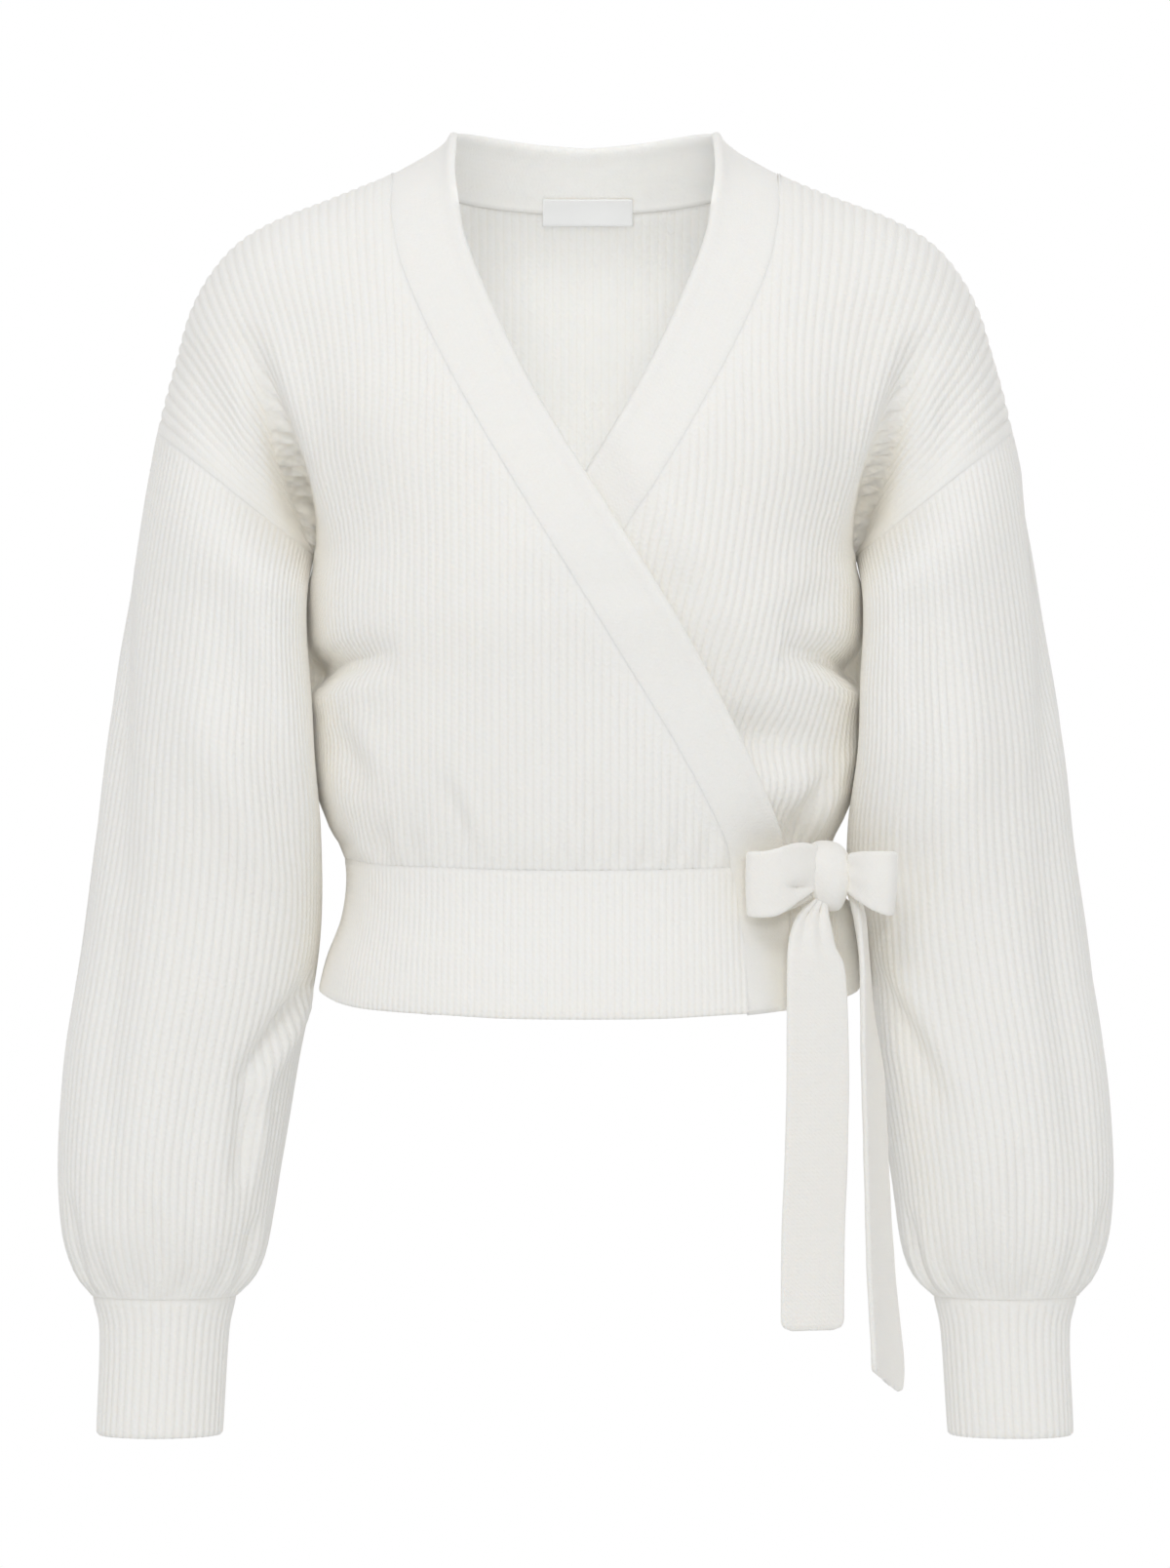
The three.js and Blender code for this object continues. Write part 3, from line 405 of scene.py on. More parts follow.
def knitted_object(name, points, faces, texture):
    """A smooth mesh in the scene. Every corner carries its wale and course numbers."""
    mesh = bpy.data.meshes.new(name)
    mesh.from_pydata(points.tolist(), [], faces)
    layer = mesh.uv_layers.new(name="knit")
    layer.data.foreach_set("uv", texture.reshape(-1).astype(np.float32))
    mesh.polygons.foreach_set("use_smooth", np.ones(len(faces), dtype=bool))
    return add_object(name, mesh)


def mesh_from_skins(name, outer, inner, knit_uv, closed=False):
    rows, columns = outer.shape[:2]
    steps = columns if closed else columns - 1
    groups = [skin_quads(rows, steps, 0), turned(*skin_quads(rows, steps, 1))]
    j = np.arange(steps)
    top, foot = 0 * j, 0 * j + rows - 1
    groups += [turned(*rim_quads(top, j, top, j + 1)), rim_quads(foot, j, foot, j + 1)]
    if not closed:
        i = np.arange(rows - 1)
        start, end = 0 * i, 0 * i + columns - 1
        groups += [rim_quads(i, start, i + 1, start), turned(*rim_quads(i, end, i + 1, end))]
    vertex, texture = [], []
    for corners, layers in groups:
        vertex.append(np.stack([
            layer * rows * columns + i * columns + j % columns
            for (i, j), layer in zip(corners, layers)], axis=1))
        texture.append(np.stack([knit_uv[i, j] for i, j in corners], axis=1))
    faces, texture = np.concatenate(vertex), np.concatenate(texture)
    points = np.concatenate([outer.reshape(-1, 3), inner.reshape(-1, 3)]) * MM
    a, b, c, d = (points[faces[:, k]] for k in range(4))
    volume = (np.cross(a, b) * c).sum() + (np.cross(a, c) * d).sum()
    if volume < 0:
        faces, texture = faces[:, ::-1], texture[:, ::-1]
    piece = knitted_object(name, points, faces.tolist(), texture)
    thickness = np.linalg.norm(outer - inner, axis=-1).ravel()
    crisp_rims(piece.data, rows, columns, closed, thickness)
    return piece


def crisp_rims(mesh, rows, columns, closed, thickness):
    """Keeps the shading of a skin and of its cut rim apart, so no seam looks dark."""
    ends = np.empty(2 * len(mesh.edges), dtype=np.int32)
    mesh.edges.foreach_get("vertices", ends)
    ends = ends.reshape(-1, 2)
    skin, inside = np.divmod(ends, rows * columns)
    i, j = np.divmod(inside, columns)
    along_row = (i[:, 0] == i[:, 1]) & np.isin(i[:, 0], (0, rows - 1))
    along_column = (j[:, 0] == j[:, 1]) & np.isin(j[:, 0], (0, columns - 1)) & (not closed)
    thick = thickness[inside].min(axis=1) > THIN_RIM
    crisp = (skin[:, 0] == skin[:, 1]) & (along_row | along_column) & thick
    mesh.attributes.new("sharp_edge", "BOOLEAN", "EDGE").data.foreach_set("value", crisp)


# %% [markdown]
# ## Edges, and the shell itself
# A free edge of knit is never square: the two skins meet in a quarter round. Where pieces are
# linked, a shell can carry a dark line along the joint: partly the joint's own darker thread,
# partly painted shadow of the step at the seam.

# %% Shell builder
made = {}


def rounded(distance, radius):
    """0 at a free edge, rising in a quarter round to 1."""
    return bulge(distance / radius)


def shell(name, points, direction, wall, outer_relief=0, inner_relief=0, edge=1, knit_uv=None,
          closed=False, seam_line_and_shadow=None):
    """Cloth from a grid of points on its outer skin. The reliefs stand up from each skin, and
    edge is 0 on a free edge, where the two skins meet in a round, and 1 inside it. The last
    argument weights the dark line along a linked seam, partly the joint's darker thread and
    partly painted shadow of the seam's step: one grid for the outer skin and one for the inner."""
    normal = facing(normals_of(points, closed), direction)
    half = (wall / 2 * (1 - np.asarray(edge) * np.ones(points.shape[:2])))[..., None]
    lift = np.broadcast_to(outer_relief, points.shape[:2])[..., None]
    drop = np.broadcast_to(inner_relief, points.shape[:2])[..., None]
    outer = points + normal * (lift - half)
    inner = points - normal * (wall - half + drop)
    piece = mesh_from_skins(name, outer, inner, knit_uv, closed)
    if seam_line_and_shadow:
        shade = np.stack([np.broadcast_to(skin, points.shape[:2]) for skin in seam_line_and_shadow])
        piece.data.attributes.new("seam_line_and_shadow", "FLOAT", "POINT").data.foreach_set(
            "value", shade.ravel().astype(np.float32))
    made[name] = piece
    triangles = 2 * len(piece.data.polygons)
    print(f"{name}: {points.shape[0]} rows x {points.shape[1]} columns, {triangles} triangles")
    return piece


# %% [markdown]
# ## Folds
# Knit this thick folds softly. A fold is a trough along a slightly bowed line, with a low roll
# of cloth beside it, and it dies away at both ends. Each is listed one by one: where it starts and
# ends, how much its line bows, how wide and deep it is, and which side the roll lies on.

# %% Folds
FOLD_CURVE = np.linspace(0, 1, 9)
FOLD_FADE = 0.7                 # less than 1 keeps a fold deep for longer before its ends
ROLL_AT, ROLL_WIDTH = 1.5, 0.9  # where the roll's crest lies and how wide it is, in reaches


def fold_depth(u, v, folds):
    """How far the cloth goes in at u, v, for a list of folds."""
    total = np.zeros(np.shape(u))
    for u0, v0, u1, v1, bow, reach, depth, roll in folds:
        way = np.array([u1 - u0, v1 - v0], float)
        across = np.array([-way[1], way[0]]) / np.linalg.norm(way)
        curve = (np.array([u0, v0]) + FOLD_CURVE[:, None] * way
                 + (4 * bow * FOLD_CURVE * (1 - FOLD_CURVE))[:, None] * across)
        nearest = np.full(np.shape(u), 1e9)
        along, side = np.zeros(np.shape(u)), np.zeros(np.shape(u))
        for k in range(len(curve) - 1):
            step = curve[k + 1] - curve[k]
            du, dv = u - curve[k, 0], v - curve[k, 1]
            t = np.clip((du * step[0] + dv * step[1]) / (step @ step), 0, 1)
            gap_u, gap_v = du - t * step[0], dv - t * step[1]
            gap = np.hypot(gap_u, gap_v)
            closer = gap < nearest
            nearest = np.where(closer, gap, nearest)
            along = np.where(closer, FOLD_CURVE[k] + t * FOLD_CURVE[1], along)
            side = np.where(closer, np.sign(gap_u * across[0] + gap_v * across[1]) * gap, side)
        fade = np.sin(math.pi * np.clip(along, 0, 1)) ** FOLD_FADE
        trough = np.exp(-(nearest / reach) ** 2)
        from_crest = (side / reach - ROLL_AT * np.sign(roll)) / ROLL_WIDTH
        raised = np.exp(-from_crest ** 2) * abs(roll)
        total += depth * fade * (trough - raised)
    return total


def drift(u, v, size, seed):
    """Slow unevenness between -1 and 1, as no hand-brushed cloth is even."""
    rng = np.random.default_rng(seed)
    total = 0
    for _ in range(5):
        angle, phase, stretch = rng.uniform(0, 2 * math.pi, 2).tolist() + [rng.uniform(0.6, 1.7)]
        total = total + np.sin((u * math.cos(angle) + v * math.sin(angle)) / size * stretch
                               * 2 * math.pi + phase)
    return total / 5


middle_depth = fold_depth(np.zeros(1), np.zeros(1), [(-50, 0, 50, 0, 0, 10, 5, 0)])[0]
print("a fold 5 mm deep, at its middle:", round(float(middle_depth), 2), "mm")

# %% [markdown]
# ## Ribs
# A rib is a round cord of knit with a narrow ditch on each side. Four columns of points to a
# rib, read from a rounded sine, are enough for smooth shading to make it round.

# %% Rib relief
COLUMNS_A_RIB = 4
RIB_WALL, BAND_WALL, TIE_WALL, LABEL_WALL = 2.4, 2.8, 2.6, 1.0
RIB_RELIEF = 1.0
RIB_ROUND, RIB_SUNK = 0.75, 0.65        # less than 1 makes a rib rounder; how deep its ditch is


def rib(wale, relief=RIB_RELIEF):
    """Height of a rib: its ditches lie at whole numbers of wales, a little below the skin."""
    return relief * (np.abs(np.sin(math.pi * wale)) ** RIB_ROUND - RIB_SUNK)


def seam_ditch(distance, depth=1.3, reach=1.6):
    return -depth * np.exp(-(distance / reach) ** 2)


def spaced(total, spacing, edge=3.0):
    """Distances down each wale: even steps, with two close rows at each end for the seams."""
    edge = np.minimum(edge, 0.06 * total)
    inner = np.linspace(0, 1, int(np.max(total) / spacing) + 1)[:, None]
    return np.concatenate([
        0 * total[None], 0.4 * edge[None], edge + (total - 2 * edge) * inner,
        (total - 0.4 * edge)[None], total[None]])


print("rib, crest to ditch:", RIB_RELIEF, "mm")

# %% [markdown]
# ## Lines of the band
# The long band covers the raw edges of the fronts. Its seam and its free edge are read by
# height here, because the panels have to stop at that seam and the left front dips under the
# right one from that free edge on.

# %% Band lines
BAND_FOOT = BAND["at"][-1]      # the band's line is read from 0 at the shoulder to this at the hem
TUCK_FROM, TUCK_FULL = 36, 8    # out from the free edge: where the dip starts and is full
TUCK_CENTRE = 40                # keeps the dip soft near the middle plane

band_at = np.linspace(BAND_FOOT, 0, 481)
band_lines = {name: read(BAND, "at", band_at, name) for name in BAND if name != "at"}


def band_seam_x(z):
    return np.interp(z, band_lines["seam_z"], band_lines["seam_x"])


def band_edge_x(z):
    return np.interp(z, band_lines["edge_z"], band_lines["edge_x"])


def back_neck_z(x):
    return mix(BACK_NECK_Z, NECK_SEAM[1], np.minimum(np.abs(x) / NECK_SEAM[0], 1) ** 2.4)


def tuck_under(points):
    """The left front, moved inside the right one from the band's free edge on."""
    x, y, z = np.moveaxis(points, -1, 0)
    tuck = UNDERLAP * smooth(TUCK_FROM, TUCK_FULL, x - band_edge_x(z))
    shrink = 1 - tuck / np.sqrt(x ** 2 + (y - MID_Y) ** 2 + TUCK_CENTRE ** 2)
    return np.stack([x * shrink, MID_Y + (y - MID_Y) * shrink, z], axis=-1)


def flare(points):
    """Below the bow the waistband stands out at the wearer's left side, slack past the tie."""
    x, y, z = np.moveaxis(points, -1, 0)
    out = read(SIDE_FLARE, "z", z, "out") * smooth(78, 126, x)
    return np.stack([x + out, y, z], axis=-1)


def tuck_and_flare(points):
    return flare(tuck_under(points))


def first_row(test, start, end):
    """Halves its way to the row where test turns positive, for all the columns at once."""
    high, low = np.array(start, float), np.array(end, float)
    for _ in range(30):
        middle = (high + low) / 2
        below = test(middle) > 0
        low, high = np.where(below, middle, low), np.where(below, high, middle)
    return (high + low) / 2


NECK_SHARE = float(np.interp(NECK_SEAM[0], GRIDS["front", "panel"][0, ACROSS_STEPS:, 0],
                             np.linspace(0, 1, ACROSS_STEPS + 1)))
print("share of the shoulder that the neck takes:", round(NECK_SHARE, 3))

# %% [markdown]
# ## Body panels
# The back and the two fronts share one maker: it finds where each wale starts, at the shoulder
# seam or at the band, spaces the rows evenly down the wale, and lays the ribs and folds on. The
# folds gather at the underarms, over the shoulders' ends and above the tie.

# %% Folds of the body
FOLDS = {
    "back": [
        (-136, -318, -84, -331, 5, 9, 3.6, 0.5), (138, -310, 78, -326, -6, 10, 3.8, -0.5),
        (-120, -352, -64, -362, 4, 7, 2.4, 0.4), (122, -346, 70, -360, -3, 7, 2.6, -0.5),
        (-194, -88, -154, -172, 4, 11, 4.8, 0.4), (196, -90, 155, -172, -5, 12, 4.4, -0.4),
        (-150, -182, -96, -250, 8, 13, 3.0, 0.4), (150, -186, 104, -244, -7, 12, 2.8, -0.5),
        (40, -338, 46, -372, 2, 8, 1.8, 0.4), (-28, -342, -20, -374, -2, 9, 1.6, 0.3)],
    "front": [
        (-180, -281, -100, -262, 3, 9, 11.0, -0.3), (180, -281, 105, -259, -3, 9, 11.0, 0.3),
        (-141, -302, -121, -337, 3, 9, 4.5, 0.5), (-79, -327, -66, -371, 3, 6, 3.2, 0.5),
        (-110, -352, -105, -375, 0, 5, 2.0, 0.4), (74, -306, 142, -321, 5, 16, 9.0, -0.5),
        (88, -338, 114, -332, 2, 11, -0.8, 0), (135, -326, 117, -369, -3, 5, 4.5, 0.7),
        (105, -253, 139, -221, 0, 12, 3.0, 0.3),
        (-220, -89, -180, -181, 0, 13, 4.0, 0), (207, -110, 179, -186, 0, 12, 4.0, 0),
        (-188, -82, -150, -205, 3, 9, 8.0, 0.4), (186, -84, 150, -205, -3, 9, 7.5, -0.4),
        (10, -371, 0, -329, 0, 9, 1.6, 0.3)],
}
print("folds:", {face: len(folds) for face, folds in FOLDS.items()})

# %% [markdown]
# ## Wales of a panel
# Each wale is one column of the panel. Its rows stay level with its neighbour's, as they are
# knitted, and only crowd where the top edge slants. The tie pulls the left front's wales askew.

# %% Wales of a panel
ROW_SPACING = 6.5
COURSE = 3.3                    # height of one row of knitting
WAIST_SEAM_ROW = 1.0
NEAR_TOP = 7.0                  # how softly the rows crowd under a slanting top edge
LEAST_STEP = 0.02


def straight(across, row):
    return across


def drawn_to_tie(across, row):
    """The tie draws the left front's wales towards the lap as they near the waist."""
    return across + 0.12 * smooth(0.42, 1, row) * smooth(-1, -0.55, across)


def wale_rows(face, across, top, bottom, lay):
    """Rows for each wale. They stay level with the next wale's rows, and crowd under the top."""
    way = np.linspace(0, 1, 241)[:, None]
    root = np.sqrt(bottom) * way + 0 * across
    length = arc_lengths(knit_points(face, "panel", lay(across + 0 * root, root ** 2), root ** 2))
    start = np.array([np.interp(np.sqrt(top[j]), root[:, j], length[:, j])
                      for j in range(len(across))])
    level = spaced(length[-1], ROW_SPACING) - start
    soft = NEAR_TOP * np.clip(start / 20, 0.001, 1)
    distance = soft * np.logaddexp(0, level / soft) + LEAST_STEP * np.arange(len(level))[:, None]
    distance -= distance[0]
    distance *= (length[-1] - start) / distance[-1]
    rows = np.stack([np.interp(start[j] + distance[:, j], length[:, j], root[:, j])
                     for j in range(len(across))], axis=1) ** 2
    return rows, distance, length[-1] - start, start


middle_wale = knit_points("back", "panel", np.zeros(99), np.linspace(0, 1, 99))
print("the back's middle wale:", round(float(arc_lengths(middle_wale)[-1])), "mm")

# %% [markdown]
# ## A panel
# The panel's shape comes from the form, and its life from small things: it is a little uneven,
# puckers where the tight waistband draws it in, runs into a plain margin beside the band, and
# its ribs are pulled flat where the sleeve drags on the underarm.

# %% Panel maker
PUCKER = 1.9                    # height of the small puckers above the waistband
PUCKER_LENGTH = 17              # from one pucker to the next
UNEVEN, UNEVEN_SIZE = 0.9, 90   # height and size of the cloth's slow waves
PLAIN_MARGIN = 14               # the ribs rise out of a plain margin beside a seam
INSIDE_SHARE = 0.45             # the ribs are flatter on the inside, under the nap
DRAWN_SHARE = 0.85              # how flat the ribs are drawn at the underarm,
DRAWN_BESIDE = (34, 10)         # this near to the side,
DRAWN_TOP, DRAWN_FOOT = (-135, -165), (-240, -205)      # and between these levels
BAND_DITCH, WAIST_DITCH = (1.1, 1.3), (0.5, 2.4)        # depth and reach of a seam's ditch


def body_panel(name, face, across, top, ribs_a_half, to_band, sideways=1, place=None,
               lay=straight):
    rows, distance, length, start = wale_rows(face, across, top, WAIST_SEAM_ROW, lay)
    points = knit_points(face, "panel", lay(across + 0 * rows, rows), rows)
    from_band = to_band(points)
    points[..., 0] *= sideways
    direction = (0, OUT[face], 0)
    normal = facing(normals_of(points, False), direction)
    x, z = points[..., 0], points[..., 2]
    depth = fold_depth(x, z, FOLDS[face]) - UNEVEN * drift(x, z, UNEVEN_SIZE, len(name))
    to_seam = length - distance
    pucker = (np.sin(x / PUCKER_LENGTH * 2 * math.pi + 2.4 * np.sin(x / 41))
              * (0.6 + 0.4 * np.sin(x / 23)))
    depth = depth + PUCKER * pucker * smooth(26, 5, to_seam)
    beside = (1 - np.abs(across)) * KNIT_HALF
    depth *= smooth(0, 14, distance) * smooth(0, 8, to_seam) * smooth(0, 16, beside)
    points = points - normal * depth[..., None]
    if place:
        points = place(points)
    wale = (across + 1) * ribs_a_half
    drawn_flat = smooth(*DRAWN_BESIDE, beside) * smooth(*DRAWN_TOP, z) * smooth(*DRAWN_FOOT, z)
    ribbed = (smooth(0, PLAIN_MARGIN, from_band) * smooth(0, 4, beside)
              * (1 - DRAWN_SHARE * drawn_flat))
    relief = rib(wale) * ribbed + seam_ditch(to_seam, *WAIST_DITCH)
    relief = relief - 0.9 * smooth(0.6, -1, from_band)
    course = (distance + start) / COURSE
    knit_uv = np.stack(np.broadcast_arrays(wale, course), axis=-1)
    inside = INSIDE_SHARE * rib(wale) + seam_ditch(from_band, *BAND_DITCH)
    return shell(name, points, direction, RIB_WALL, relief, inside, knit_uv=knit_uv)


def columns_between(start, end, ribs_a_half):
    count = int(round((end - start) * ribs_a_half * COLUMNS_A_RIB))
    return np.linspace(start, end, count + 1)


# %% [markdown]
# ## The back and the fronts
# The back stops at the seam of the neck band and each front at the seam of its own band, so
# the first row of every wale is searched for there. The fronts are one shape, the left one
# mirrored and tucked inside the right one.

# %% Body panels
LEAST_WALE = 0.008              # a wale shorter than this share of a panel isn't knitted
BACK_RIBS, RIGHT_RIBS, LEFT_RIBS = 56, 56, 50   # in half a panel's width

back_across = columns_between(-1, 1, BACK_RIBS)
back_top = first_row(
    lambda row: back_neck_z(knit_points("back", "panel", back_across, row)[:, 0]) + LAP
    - knit_points("back", "panel", back_across, row)[:, 2],
    0 * back_across, 0 * back_across + 0.3)
back_top[np.abs(back_across) >= NECK_SHARE] = 0


def below_neck_seam(points):
    x, z = points[..., 0], points[..., 2]
    return np.where(np.abs(x) < NECK_SEAM[0], back_neck_z(x) - z, 99)


def beside_band_seam(points):
    """Distance square to the slanting seam, from the distance straight across to it."""
    return 0.88 * (band_seam_x(points[..., 2]) - points[..., 0])


body_panel("back_panel", "back", back_across, back_top, BACK_RIBS, below_neck_seam)


def past_band_seam(across, row, part="panel"):
    points = knit_points("front", part, across, row)
    return band_seam_x(points[..., 2]) + LAP - points[..., 0]


def front_columns(ribs_a_half, lay=straight):
    tries = np.linspace(0, 0.6, 601)
    reached = first_row(lambda row: past_band_seam(lay(tries, row), row), 0 * tries, 0 * tries + 1)
    tip = tries[reached < WAIST_SEAM_ROW - LEAST_WALE][-1]
    across = columns_between(-1, tip, ribs_a_half)
    top = first_row(lambda row: past_band_seam(lay(across, row), row), 0 * across, 0 * across + 1)
    top[across <= -NECK_SHARE] = 0
    return across, top


body_panel("right_front_panel", "front", *front_columns(RIGHT_RIBS), RIGHT_RIBS, beside_band_seam)
body_panel("left_front_panel", "front", *front_columns(LEFT_RIBS, drawn_to_tie), LEFT_RIBS,
           beside_band_seam, -1, tuck_under, drawn_to_tie)

# %% [markdown]
# ## Waistband
# A deep band in a finer rib, in three pieces that meet at the side seams. It is knitted
# tighter than the body, so it draws the cloth in at its seam and flares over the hip.

# %% Waistband
WAIST_RIBS = 64                 # in half a panel's width
WAIST_ROWS = np.array([0, 0.012, 0.04, *np.linspace(0.08, 0.94, 17), 0.975, 0.992, 1])
WAIST_RELIEF = 0.9
HEM_ROUND = 2.2                 # radius of a free edge


def waistband(name, face, start, end_at, sideways=1, place=None):
    rows = mix(WAIST_SEAM_ROW, 2, WAIST_ROWS)
    ends = np.array([end_at(row) for row in rows])
    count = int((ends.max() - start) * WAIST_RIBS * COLUMNS_A_RIB)
    across = mix(start, ends[:, None], np.linspace(0, 1, count + 1))
    row = rows[:, None] + 0 * across
    points = knit_points(face, "waist", across, row)
    points[..., 0] *= sideways
    if place:
        points = place(points)
    down = (row - 1) * (WAIST_Z - HEM_Z)
    hem = (2 - row) * (WAIST_Z - HEM_Z)
    wale = (across + 1) * WAIST_RIBS
    ribs = rib(wale, WAIST_RELIEF)
    relief = ribs * smooth(-1, 5, down) + seam_ditch(down, *WAIST_DITCH)
    knit_uv = np.stack([wale, down / COURSE], axis=-1)
    return shell(name, points, (0, OUT[face], 0), BAND_WALL, relief, ribs, rounded(hem, HEM_ROUND),
                 knit_uv)


def waist_tip(row):
    across = np.linspace(0, 1, 400)
    past = past_band_seam(across, np.full_like(across, row), "waist")
    return float(np.interp(0, -past, across))


waistband("back_waistband_knit", "back", -1, lambda row: 1, place=flare)
waistband("right_front_waistband_knit", "front", -1, waist_tip)
waistband("left_front_waistband_knit", "front", -1, waist_tip, -1, tuck_and_flare)

# %% [markdown]
# ## The long band and the short one
# A strip of plain knit finishes the fronts and the neck. The long one runs from the hem of the
# right front, over the shoulder and round the back of the neck, and is joined to the short one
# at the left shoulder. Its free edge is a fold, so it is round, and plain knit rolls a little
# there. The strip is built from two lines, its seam and its edge, spaced by their real length.

# %% Bands
BAND_ROW_SPACING = 3.6
BAND_COLUMNS = np.array([0, 0.03, 0.07, *np.linspace(0.12, 0.88, 11), 0.93, 0.965, 0.985, 1])
BAND_WIDTH = 35
BAND_ROLL, ROLL_IN, ROLL_REACH = 1.2, 3.4, 2.8  # the rolled edge: height, place and width
PLAIN_STITCH = (2.6, 2.3)       # width and height of a stitch of the plain knit


def evenly(line, *others, spacing):
    """Spaces the rows of one line evenly by its length, and the other lines with it."""
    length = arc_lengths(line)
    steps = int(length[-1] / spacing)
    at = np.linspace(0, length[-1], steps + 1)
    index = np.interp(at, length, np.arange(len(line)))
    low = np.clip(index.astype(int), 0, len(line) - 2)
    share = index - low
    return [mix(a[low], a[low + 1], share.reshape((-1,) + (1,) * (a.ndim - 1)))
            for a in (line, *others)]


def plain_uv(across, along):
    return np.stack(np.broadcast_arrays(across / PLAIN_STITCH[0], along / PLAIN_STITCH[1]), axis=-1)


def front_band_grid():
    """Rows of points from the hem up to the shoulder, finest where the collar turns."""
    at = BAND_FOOT * (1 - np.linspace(0, 1, 1201))
    fine = np.concatenate([at[at > 0.5], 0.5 * np.linspace(1, 0, 400) ** 2])
    seam_x, seam_z = read(BAND, "at", fine, "seam_x"), read(BAND, "at", fine, "seam_z")
    edge_x, edge_z = read(BAND, "at", fine, "edge_x"), read(BAND, "at", fine, "edge_z")
    share = BAND_COLUMNS[None, :]
    x = mix(seam_x[:, None], edge_x[:, None], share)
    z = mix(seam_z[:, None], edge_z[:, None], share)
    points = face_points("front", x, z)
    collar = COLLAR_SWEEP * share * bulge((z[-1] - z) / COLLAR_DROP)
    points[..., 1] = MID_Y - ((MID_Y - points[..., 1]) ** 4 + collar ** 4) ** 0.25
    points[-1, :, 1] = MID_Y
    points[..., 0] += COLLAR_HOLLOW * 4 * share * (1 - share) * np.exp(-(fine / 1.3) ** 2)[:, None]
    return points


def back_neck_grid():
    angle = np.linspace(0, math.pi, 240)[1:]
    seam_x = -NECK_SEAM[0] * np.cos(angle)
    seam = face_points("back", seam_x, back_neck_z(seam_x))
    side = np.abs(np.cos(angle))
    edge = np.stack([-NECK_EDGE[0] * np.cos(angle), MID_Y + NECK_EDGE_BACK * np.sin(angle),
                     read(NECK_HEIGHT, "side", side, "z")], axis=-1)
    share = BAND_COLUMNS[:, None]
    points = mix(seam[:, None], edge[:, None], share)
    hollow = COLLAR_HOLLOW * 4 * share * (1 - share) * side[:, None, None] ** 3
    points[..., 0] += hollow[..., 0] * np.sign(np.cos(angle))[:, None]
    return points


def band_shell(name, points, direction):
    middle = points[:, len(BAND_COLUMNS) // 2]
    middle, points = evenly(middle, points, spacing=BAND_ROW_SPACING)
    length = arc_lengths(middle)[:, None]
    across = BAND_COLUMNS[None, :] * BAND_WIDTH
    to_edge = BAND_WIDTH - across
    rolled = BAND_ROLL * np.exp(-((to_edge - ROLL_IN) / ROLL_REACH) ** 2)
    wave = 0.5 * drift(length, across * 2, 60, 5) * smooth(0, 8, across)
    to_joint = length[-1] - length
    joint = 0.9 * (1 + np.sin(across * 0.9 + 0.6)) * np.exp(-((to_joint - 9) / 6) ** 2)
    relief = rolled + wave + seam_ditch(across, 0.3, 1.8)
    inside = rolled * 0.5 + joint * smooth(1, 6, to_edge) + 0.5 * np.exp(-((across - 1) / 1.4) ** 2)
    # Painted shadow along the linked seam, strongest on the inner skin, with a little of the
    # joint's darker thread.
    near_seam_line = np.exp(-(across / 1.1) ** 2)
    ends = rounded(length, 2) * rounded(to_joint + 4, 4)
    edge = rounded(to_edge, HEM_ROUND) * ends
    knit_uv = plain_uv(across, length)
    return shell(name, points, direction, BAND_WALL, relief, inside, edge, knit_uv,
                 seam_line_and_shadow=(0.05 * near_seam_line, 0.5 * near_seam_line))


front_grid, neck_grid = front_band_grid(), back_neck_grid()
band_shell("long_band_knit", np.concatenate([front_grid, neck_grid]), (0, -0.2, 1))
left_grid = tuck_under(front_grid * (-1, 1, 1))
left_grid[-1, :, 1] = MID_Y
band_shell("left_front_band_knit", left_grid, (0, -1, 0.3))

# %% [markdown]
# ## Sleeves
# Each sleeve is a tube through oval rings: narrow at the armhole, full above the wrist, and
# drawn in hard by the cuff. Its folds are given by the turn around the arm in degrees, which
# on a sleeve this size are close to millimetres, and by the height.

# %% Sleeves
SLEEVE_RIBS = 80
SLEEVE_UNEVEN = 1.2
GATHER, GATHERED = 1.3, (60, 8) # height of the gathers, and how far above the cuff they rise
SLEEVE_FOLDS = {
    "right": [
        (9, -216, 45, -399, 3, 14, 5.0, 0), (86, -218, 140, -378, 4, 15, 5.0, 0.3),
        (75, -271, 157, -434, -3, 14, -3.5, 0), (174, -437, 125, -500, -6, 8, 8.5, 0.5),
        (126, -488, 132, -555, 4, 7, 6.0, 0.5), (47, -361, 64, -572, -3, 12, 4.5, 0),
        (95, -457, 103, -591, 3, 12, 3.0, 0.2), (84, -560, 88, -606, 2, 7, 3.0, 0.4),
        (150, -568, 146, -606, -2, 7, 3.0, 0.4), (28, -556, 34, -604, 2, 7, 2.6, 0.4),
        (196, -356, 240, -420, 6, 12, 4.5, 0.4), (302, -446, 268, -540, -7, 12, 4.5, -0.4),
        (214, -470, 238, -528, 4, 10, 3.6, 0.4), (228, -566, 232, -608, 2, 7, 3.0, 0.4),
        (300, -568, 296, -608, -2, 7, 3.0, 0.4), (250, -226, 286, -282, -4, 12, 3.4, 0.4)],
    "left": [
        (180, -372, 180, -478, 0, 30, 10, 0), (0, -162, 48, -356, -4, 13, 5.0, 0),
        (42, -345, 47, -562, 4, 13, 5.0, 0),
        (123, -223, 97, -329, -4, 12, 5.0, 0.3), (86, -244, 86, -393, 3, 14, -3.0, 0),
        (154, -431, 122, -513, -6, 9, 5.5, -0.5), (85, -526, 78, -594, 2, 8, 3.0, 0.3),
        (104, -351, 124, -415, 3, 11, 3.0, 0.3),
        (154, -564, 150, -606, 2, 7, 2.8, 0.4), (22, -560, 30, -604, 2, 7, 2.8, 0.4),
        (200, -370, 244, -430, -6, 12, 4.2, 0.4), (296, -450, 262, -536, 7, 12, 4.4, 0.4),
        (220, -480, 244, -540, -4, 10, 3.4, -0.4), (234, -566, 230, -608, 2, 7, 3.0, 0.4),
        (306, -564, 302, -608, 2, 7, 2.8, 0.4), (256, -232, 290, -296, 4, 12, 3.4, -0.4)],
}


